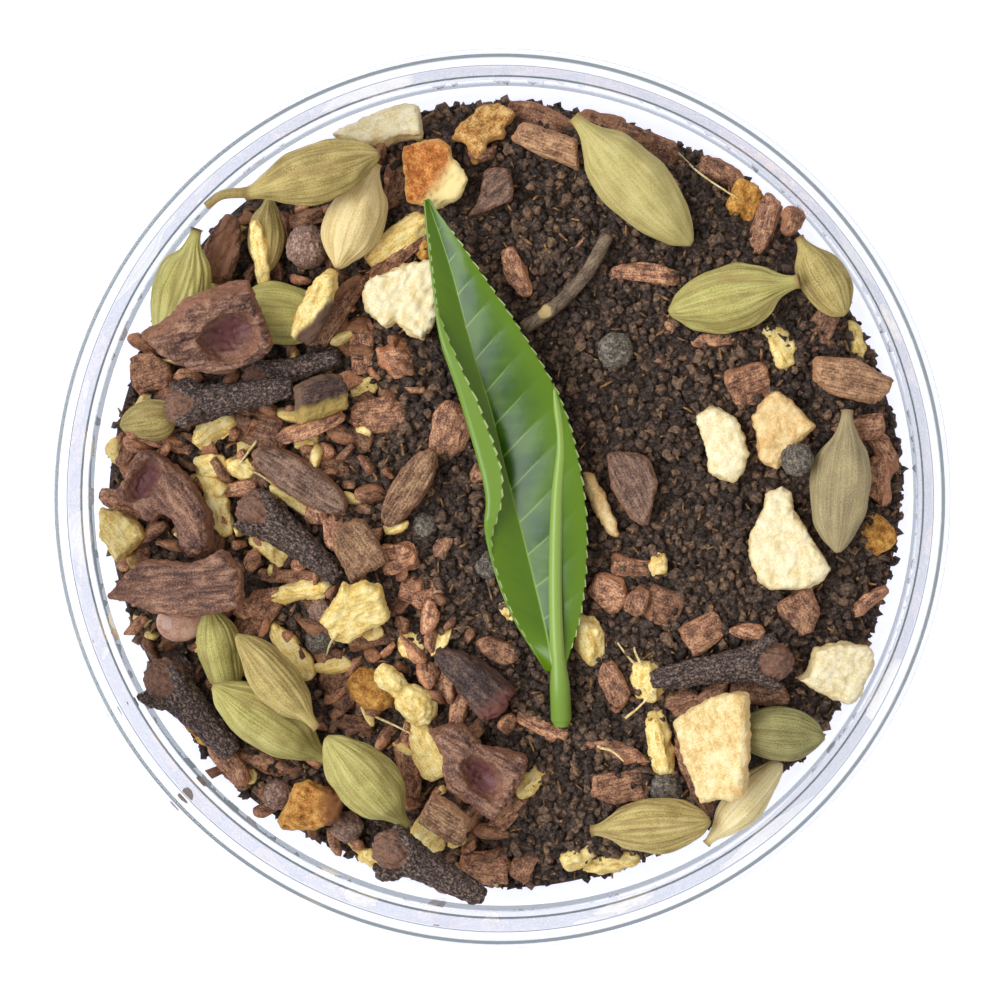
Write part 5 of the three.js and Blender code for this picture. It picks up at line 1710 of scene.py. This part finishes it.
@dataclass
class BrokenPieces:
    """Slices, chips, scraps and carpels: each CAD solid taken to a fine skin and worked over."""

    cell: float = 0.22
    hollow_span: float = 9.0  # mm, wider than any hollow
    border_rounds: int = 60  # of softening a hollow's border
    worn_rounds: int = 50  # of smoothing its inside

    def hollows(self, skin: Skin) -> np.ndarray:
        """Finds a piece's hollows, where it hides part of the sky from itself.

        Args:
            skin: its surface.

        Returns:
            How far each point lies in a hollow, from 0 to 1.
        """
        tree = skin.tree()
        facing = skin.normals()
        starts = skin.points + 0.05 * facing
        rays = [unit(UP + slope * heading(45 * k)) for slope in (0.7, 1.5) for k in range(8)]
        hidden = np.zeros(len(skin.points))
        for ray in rays:
            for k in np.flatnonzero(facing @ ray > 0.05):
                if tree.ray_cast(Vector(starts[k]), Vector(ray), self.hollow_span)[0]:
                    hidden[k] += 1
        return smoothstep(0.2, 0.5, hidden / len(rays)) * (facing[:, 2] > -0.2)

    def smooth_hollows(self, skin: Skin) -> np.ndarray:
        """Finds a piece's hollows and wears them smooth.

        Args:
            skin: its surface, which is evened out in them.

        Returns:
            How far each point lies in a hollow, from 0 to 1, with a soft border.
        """
        cavity = self.hollows(skin)
        spread = Skin(np.repeat(cavity[:, None], 3, axis=1), skin.triangles)
        spread.relax(self.border_rounds, 0.6)
        cavity = np.clip(np.maximum(cavity, 2.2 * spread.points[:, 0]), 0, 1)
        skin.relax(self.worn_rounds, 0.5 * cavity)
        return cavity

    def piece(self, node: str, look: BrokenLook, seed: int) -> Skin:
        """One piece.

        Args:
            node: its CAD node.
            look: its looks.
            seed: varies its relief.

        Returns:
            Its surface, painted.
        """
        solid = Skin.of_node(node)
        lie = Lie.of_solid(solid, heading(look.turn), flat=True)
        relief = look.relief
        skin = solid.recast(self.cell)
        skin.relax(relief.rounds)
        local = lie.local(skin.points)
        through = np.abs(skin.normals() @ lie.axes[2])
        work = relief.depth * ripples(local, relief.wave, seed, 4)
        work += relief.grit * ripples(local, 0.7, seed + 60, 2)
        if relief.pitted:
            work -= relief.pitted * smoothstep(0.35, 0.1, pits(local, 1.1, seed))
        cavity = np.zeros(len(local))
        if relief.hollow:
            cavity = self.smooth_hollows(skin)
            work *= 1 - 0.6 * cavity
        if look.fade:
            turn, start, end = look.fade
            reach = (skin.points - lie.middle) @ heading(turn) + 0.5 * ripples(local, 2.0, seed + 80, 3)
            cavity = smoothstep(start, end, reach)
        if relief.folded:
            folds = np.abs(ripples(local, relief.wave, seed + 20, 3))
            work -= relief.folded * smoothstep(0.2, 0.0, folds)
        skin.push(work)
        edge = 0.0 if relief.plain else 0.6 * smoothstep(0.8, 0.35, through) * (1 - cavity)
        if look.cut:
            x, y, radius = look.cut
            away = np.hypot(skin.points[:, 0] - x, skin.points[:, 1] - y)
            edge = smoothstep(1.1 * radius, 0.9 * radius, away) * (skin.points[:, 2] > lie.middle[2])
        skin.coat(local + GRAIN_STEP * seed, edge=edge, cavity=cavity)
        return skin

    def build(self) -> None:
        """Makes the pieces."""
        seeds = itertools.count()
        for kind, looks in BROKEN.items():
            for k, look in enumerate(looks, start=1):
                node = f"{kind}_{k}"
                show(self.piece(node, look, next(seeds)), node + "_worked", look.finish, kind, node)


@dataclass
class Berries:
    """Single berries and the loose star anise seed that lie on the tea."""

    looks: tuple[tuple[str, DriedPlant], ...] = (
        ("allspice_berry_1", ALLSPICE),
        ("peppercorn_1", PEPPER),
    )
    seed_turn: float = 10.0
    seed_flat: float = 0.62  # share of the seed's half width at which its flat side lies

    def build(self) -> None:
        """Makes the berries and the seed."""
        for seed, (node, finish) in enumerate(self.looks, start=300):
            low, high = (np.array(corner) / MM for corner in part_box(node))
            skin = wrinkled_berry(high - low, seed, 56)
            skin.points += (low + high) / 2
            show(skin, node + "_skin", finish, node.rsplit("_", 1)[0], node)
        solid = Skin.of_node("star_anise_seed_1")
        lie = Lie.of_solid(solid, heading(self.seed_turn), flat=True)
        local, triangles = sphere(40, 60)
        local[:, 1] = np.minimum(local[:, 1], self.seed_flat)
        local *= lie.size / 2
        skin = Skin(lie.placed(local), triangles)
        skin.coat(local)
        show(skin, "anise_seed", ANISE_SEED, "star_anise_seed", "star_anise_seed_1")


# Tea shoot


class Side(Enum):
    """Half of the leaf's blade, as the photo shows it."""

    RIGHT = "right"
    LEFT = "left"


@dataclass(frozen=True)
class HalfBlade:
    """Half of the leaf's blade: rows from the tip to the stalk, columns from the midrib out."""

    outward: np.ndarray  # level direction of each row
    reach: np.ndarray  # mm out from the midrib
    lift: np.ndarray  # mm over the midrib
    curl: np.ndarray  # mm of each row's margin that turns back
    paint: dict[str, np.ndarray]


@dataclass
class TeaShoot:
    """The fresh shoot: a folded leaf with a curled margin, a rolled young leaf beside it, and the stalk."""

    left: tuple[tuple[float, float], ...] = (
        (-8.5, 33.6), (-7.7, 26), (-6.6, 19), (-3.8, 10.5), (-1.2, 1), (-1.3, -5), (1, -12.5), (5.2, -19.6),
    )
    midrib: tuple[tuple[float, float], ...] = (
        (-8.2, 33.8), (-5.6, 26), (-3.4, 17.5), (-1.1, 10), (0.9, 2), (2.6, -4.5), (4.4, -12), (6.2, -19.8),
    )
    right: tuple[tuple[float, float], ...] = (
        (-7.9, 33.6), (-3, 26.5), (2.5, 18.5), (6.8, 11), (9, 3), (9.7, -4.5), (9.1, -12.5), (7.2, -19.6),
    )
    bud: tuple[tuple[float, float], ...] = (
        (6, 13), (6.8, 6.5), (6.4, 0), (6.2, -8), (6.3, -15), (6.7, -21), (6.9, -26.2),
    )
    thickness: float = 0.3
    curl: tuple[tuple[float, float], ...] = (  # share of the length, mm of margin
        (0.0, 0.04), (0.24, 0.04), (0.33, 0.9), (0.42, 1.5), (0.55, 1.7), (0.63, 1.1), (0.7, 0.3),
        (0.76, 0.04), (1.0, 0.04),
    )
    curled: float = 0.2  # margin from which a row counts as curled
    bud_radius: tuple[tuple[float, float], ...] = (  # share of the length, mm
        (0, 0.08), (0.08, 0.45), (0.4, 0.72), (0.75, 0.8), (0.84, 1.15), (0.97, 1.2), (1, 0.75),
    )
    tooth_pitch: float = 1.5
    tooth: float = 0.28
    height: float = 12.0  # usual height of the shoot
    steps: int = 260
    columns: int = 44
    fold_columns: int = 13
    bud_steps: int = 160
    evened: int = 20  # rows to each side that a height is evened over

    def levels(self, ground: BVHTree, line: np.ndarray) -> np.ndarray:
        """Reads the CAD shoot's heights.

        Args:
            ground: the CAD shoot.
            line: points seen from above.

        Returns:
            Its height at each of them, evened out along the line.
        """
        heights = []
        for x, y in line:
            near = met_from_above(ground, x, y) or ground.find_nearest(Vector((x, y, self.height)))[0]
            heights.append(near.z)
        window = np.hanning(2 * self.evened + 1)
        padded = np.pad(heights, self.evened, mode="edge")
        return np.convolve(padded, window / window.sum(), mode="valid")

    def teeth(self, along: np.ndarray) -> np.ndarray:
        """How far the margin's teeth stand out in each row.

        Args:
            along: each row's distance from the tip.

        Returns:
            Millimetres, none at the leaf's two ends.
        """
        place = np.linspace(0, 1, self.steps)
        saw = self.tooth * (along / self.tooth_pitch % 1.0)
        return saw * smoothstep(0.02, 0.1, place) * smoothstep(1, 0.9, place)

    def half(self, ground: BVHTree, middle: np.ndarray, base: np.ndarray, side: Side) -> HalfBlade:
        """Works out half of the blade.

        Args:
            ground: the CAD shoot.
            middle: the midrib seen from above.
            base: its heights.
            side: which half.

        Returns:
            The half, painted.
        """
        right = side is Side.RIGHT
        outward = curve(self.right if right else self.left, self.steps) - middle
        wide = np.maximum(np.linalg.norm(outward, axis=1), 0.05)
        outward = outward / wide[:, None]
        height = self.levels(ground, middle + 0.85 * outward * wide[:, None]) - base
        along = distances(middle)
        teeth = self.teeth(along)
        share = np.linspace(0, 1, self.columns)
        reach = (wide + teeth * right)[:, None] * share
        course = along[:, None] + 0.75 * reach
        quilt = np.abs(np.sin(np.pi * course / VEIN_PITCH)) ** 0.6 * np.sin(np.pi * share) ** 0.8
        arch = 1 - (1 - share) ** 1.8 if right else share**1.2
        lift = height[:, None] * arch + 0.07 * quilt * smoothstep(0.5, 3.0, wide)[:, None]
        lift += 0.1 * np.sin(along / 2.3)[:, None] * share**2
        curl = np.zeros(self.steps) if right else np.interp(np.linspace(0, 1, self.steps), *zip(*self.curl))
        fade = smoothstep(0.7, 0.25, share) * smoothstep(0.4, 2.0, wide)[:, None]
        brim = smoothstep(0.16, 0.05, reach[:, -1:] - reach) * (teeth / self.tooth > 0.45)[:, None]
        # Painted light: the upper side lighter green over the left half and towards the right margin, not
        # beside the midrib on the right.
        painted_light = smoothstep(0.25, 0.95, share) if right else 0.75 + 0.25 * share
        paint = {
            "vein": 0.45 * fade * right,
            "rib": 0.8 * smoothstep(0.18, 0.06, reach),
            "margin": 0.8 * brim,
            "bright": np.broadcast_to(painted_light, reach.shape),
            "course": course,
        }
        return HalfBlade(outward, reach, lift, curl, paint)

    def turned_margin(self, brink: np.ndarray, half: HalfBlade, teeth: np.ndarray) -> np.ndarray:
        """The margin that turns up and back over the blade.

        Args:
            brink: points of the blade's edge.
            half: the half that it belongs to.
            teeth: how far its teeth stand out.

        Returns:
            Its points, columns from the edge on.
        """
        loop = 0.5 * np.minimum(half.curl, 0.9)
        columns = []
        for t in np.linspace(0, 1, self.fold_columns + 1)[1:]:
            angle = np.pi * min(1.0, 2 * t)
            inward = max(0.0, 2 * t - 1) * (half.curl + teeth * (half.curl > self.curled))
            points = brink.copy()
            points[:, :2] += half.outward * (loop * np.sin(angle) - inward)[:, None]
            points[:, 2] += 0.8 * loop * (1 - np.cos(angle))
            columns.append(points)
        return np.stack(columns, axis=1)

    def thickened(self, grid: np.ndarray) -> Skin:
        """Gives a sheet its thickness.

        Args:
            grid: rows and columns of its points.

        Returns:
            The closed sheet, its upper points first.
        """
        normal = np.cross(np.gradient(grid, axis=1), -np.gradient(grid, axis=0))
        normal /= np.maximum(np.linalg.norm(normal, axis=2, keepdims=True), 1e-9)
        normal *= np.sign(np.median(normal[:, self.fold_columns + 5 :, 2]))
        count, wide = grid.shape[:2]
        number = np.arange(count * wide).reshape(count, wide)
        corners = number[:-1, :-1], number[:-1, 1:], number[1:, 1:], number[1:, :-1]
        a, b, c, d = (corner.ravel() for corner in corners)
        upper = np.vstack([np.column_stack([a, c, b]), np.column_stack([a, d, c])])
        brink = np.concatenate([number[0], number[1:, -1], number[-1, -2::-1], number[-2:0:-1, 0]])
        after = np.roll(brink, -1)
        below, below_after = brink + count * wide, after + count * wide
        triangles = [
            upper,
            upper[:, ::-1] + count * wide,
            np.column_stack([brink, after, below_after]),
            np.column_stack([brink, below_after, below]),
        ]
        half = 0.5 * self.thickness * normal
        points = np.vstack([(grid + half).reshape(-1, 3), (grid - half).reshape(-1, 3)])
        return Skin(points, np.vstack(triangles))

    def blade(self, ground: BVHTree) -> Skin:
        """The leaf's blade as a thin closed sheet, its left margin curled over.

        Args:
            ground: the CAD shoot.

        Returns:
            Its surface, painted.
        """
        middle = curve(self.midrib, self.steps)
        base = self.levels(ground, middle)
        right, left = (self.half(ground, middle, base, side) for side in Side)
        spread = []
        for half in (right, left):
            flat = middle[:, None, :] + half.outward[:, None, :] * half.reach[:, :, None]
            spread.append(np.dstack([flat, base[:, None] + half.lift]))
        along = distances(middle)
        teeth = self.teeth(along)
        folded = self.turned_margin(spread[1][:, -1, :], left, teeth)
        skin = self.thickened(np.concatenate([folded[:, ::-1], spread[1][:, :0:-1], spread[0]], axis=1))
        quiet = np.zeros((self.steps, self.fold_columns))
        lip = quiet.copy()
        lip[:, -1] = (teeth / self.tooth > 0.4) * (left.curl > self.curled)
        # The curled margin gets the painted light at full share.
        margins = {"vein": quiet, "rib": quiet, "margin": lip, "bright": quiet + 1, "course": quiet}
        marks = {}
        for name, margin in margins.items():
            parts = [margin[:, ::-1], left.paint[name][:, :0:-1], right.paint[name]]
            marks[name] = np.concatenate(parts, axis=1)
        course = marks.pop("course")
        span = np.broadcast_to(0.2 * np.arange(course.shape[1]), course.shape)
        down = np.broadcast_to(along[:, None], course.shape)
        grain = np.column_stack([course.ravel(), span.ravel(), down.ravel()])
        skin.paint = {"grain": np.tile(grain, (2, 1)), "under": np.repeat([0.0, 1.0], course.size)}
        for name, mark in marks.items():
            skin.paint[name] = np.tile(mark.ravel(), 2)
        return skin

    def stalk(self, ground: BVHTree) -> Skin:
        """The rolled young leaf that runs down into the stalk.

        Args:
            ground: the CAD shoot.

        Returns:
            Its surface, painted.
        """
        flat = curve(self.bud, self.bud_steps)
        radius = np.interp(np.linspace(0, 1, self.bud_steps), *zip(*self.bud_radius))
        line = np.column_stack([flat, self.levels(ground, flat) - 0.8 * radius])
        skin = tube(line, radius, 36)
        length, out, up = skin.paint["grain"].T
        turn = np.arctan2(up, out)
        rolled = smoothstep(0.92, 0.72, length / length.max())
        # The roll gets the painted light at full share; its underside green is mixed over it.
        skin.paint["bright"] = np.ones(len(turn))
        skin.paint["under"] = np.ones(len(turn))
        skin.paint["vein"] = np.zeros(len(turn))
        skin.paint["rib"] = 0.15 + rolled * (0.5 + 0.3 * smoothstep(0.35, 0.1, np.abs(turn - 0.9)))
        # A pale line in the teeth's colour along one side of the roll is a painted highlight.
        skin.paint["margin"] = 0.5 * rolled * smoothstep(0.25, 0.05, np.abs(turn - 0.35))
        return skin

    def build(self) -> None:
        """Makes the shoot."""
        ground = Skin.of_node("tea_shoot").tree()
        show(Skin.joined([self.blade(ground), self.stalk(ground)]), "shoot", LEAF, "tea_shoot", "tea_shoot")


# Threads


@dataclass
class RootThreads:
    """Thin root fibres and bristles that lie among the pieces."""

    lines: tuple[tuple[tuple[float, float], ...], ...] = (
        ((15.4, -19.2), (14.2, -17.8), (13.3, -16.6)),
        ((16.0, -19.0), (15.3, -17.6), (15.2, -16.8)),
        ((14.2, -25.2), (15.8, -23.8), (17.4, -22.0)),
        ((11.0, -28.4), (12.6, -28.8), (14.0, -30.0)),
        ((-18.6, -15.4), (-19.6, -16.8), (-20.2, -18.2)),
        ((-15.3, -25.1), (-12.6, -26.2), (-10.4, -27.2)),
        ((-28.3, 6.5), (-29.4, 5.0), (-30.2, 3.9)),
        ((-26.0, 1.2), (-28.0, 2.6), (-29.4, 3.2)),
        ((20.0, 39.8), (22.8, 37.0), (27.0, 34.0)),
        ((-2.6, 13.4), (-1.6, 14.6), (-1.2, 16.0)),
        ((18.6, -31.0), (19.3, -31.4), (20.0, -31.3)),
    )
    radius: float = 0.17
    lift: float = 0.6
    steps: int = 16

    def build(self) -> None:
        """Makes the threads."""
        ground = solids_tree("glass_dish", "tea_shoot")
        made = []
        for line in self.lines:
            flat = curve(line, self.steps)
            height = [met_from_above(ground, x, y).z for x, y in flat]
            rest = np.maximum(height, np.linspace(height[0], height[-1], self.steps)) + self.lift
            taper = self.radius * np.linspace(1.0, 0.55, self.steps)
            thread = tube(np.column_stack([flat, rest]), taper, 8)
            thread.coat(thread.paint["grain"])
            made.append(thread)
        show(Skin.joined(made), "root_threads", STRAW, "tea_bed")


# Studio


@dataclass(frozen=True)
class Paper(Finish):
    """White paper over a lit table, which leaves no shadow."""

    sheet: str = "#c4c2ca"
    table_light: str = "#f7f4ff"
    strength: float = 0.8

    def paint(self, tree: bpy.types.NodeTree, shader: bpy.types.Node) -> None:
        """Sets the shader's sockets.

        Args:
            tree: the material's nodes.
            shader: its main shader.
        """
        shader.inputs["Base Color"].default_value = linear(self.sheet)
        shader.inputs["Roughness"].default_value = 0.9
        shader.inputs["Emission Color"].default_value = linear(self.table_light)
        shader.inputs["Emission Strength"].default_value = self.strength


@dataclass
class Studio:
    """Pale floor, soft white light from all round with a window to the upper left, and the camera."""

    floor_size: float = 4.0
    below: float = 0.05  # mm from the dish's foot down to the paper
    sky: float = 0.66
    sky_colour: tuple[float, float, float] = (1.0, 0.985, 0.96)
    window_colour: tuple[float, float, float] = (0.9, 0.95, 1.0)
    window_power: float = 8.5
    window_size: float = 0.6
    window_long: float = 0.9
    window_at: tuple[float, float, float] = (-0.55, 0.02, 0.71)
    eye: tuple[float, float, float] = (0.010, 0.0078, 0.36)
    aim: tuple[float, float, float] = (0.00017, 0.0, 0.02)
    view_width: float = 0.1107  # what the frame takes in at the rim
    sensor: float = 36.0

    def floor(self) -> None:
        """Lays the floor."""
        half = self.floor_size / 2 / MM
        around = ((-1, -1), (1, -1), (1, 1), (-1, 1))
        corners = np.array([(x * half, y * half, -self.below) for x, y in around])
        mesh = Skin(corners, np.array([[0, 1, 2], [0, 2, 3]])).mesh("floor")
        mesh.materials.append(Paper("white paper").material())
        placed_object("floor", mesh)

    def light(self) -> None:
        """Sets the sky and the window."""
        world = bpy.data.worlds.new("studio")
        world.use_nodes = True
        background = world.node_tree.nodes["Background"].inputs
        background["Color"].default_value = (*self.sky_colour, 1.0)
        background["Strength"].default_value = self.sky
        bpy.context.scene.world = world
        lamp = bpy.data.lights.new("window", "AREA")
        lamp.shape = "RECTANGLE"
        lamp.size = self.window_long
        lamp.size_y = self.window_size
        lamp.color = self.window_colour
        lamp.energy = self.window_power
        window = placed_object("window", lamp)
        window.location = self.window_at
        window.rotation_euler = (-Vector(self.window_at)).to_track_quat("-Z", "Y").to_euler()

    def camera(self) -> None:
        """Sets the camera over the dish."""
        sight = Vector(self.aim) - Vector(self.eye)
        lens = bpy.data.cameras.new("camera")
        lens.sensor_width = self.sensor
        lens.lens = self.sensor * sight.length / self.view_width
        lens.clip_start = 0.01
        camera = placed_object("camera", lens)
        camera.location = self.eye
        ahead = sight.normalized()
        aside = ahead.cross(Vector((0, 1, 0))).normalized()
        camera.rotation_euler = Matrix((aside, aside.cross(ahead), -ahead)).transposed().to_euler()
        bpy.context.scene.camera = camera

    def build(self) -> None:
        """Sets floor, light, camera and colour."""
        self.floor()
        self.light()
        self.camera()
        bpy.context.scene.view_settings.view_transform = "Standard"


def main() -> None:
    """Builds the pieces in order, then the studio, and notes the sizes."""
    logging.basicConfig(level=logging.INFO, format="%(message)s")
    blend = (TeaBed, CardamomPods, Cloves, BrokenPieces, Berries, TeaShoot, RootThreads)
    for part in (GlassDish, *blend, Studio):
        part().build()
        LOG.info("%s done", part.__name__)


if __name__ == "__main__":
    main()
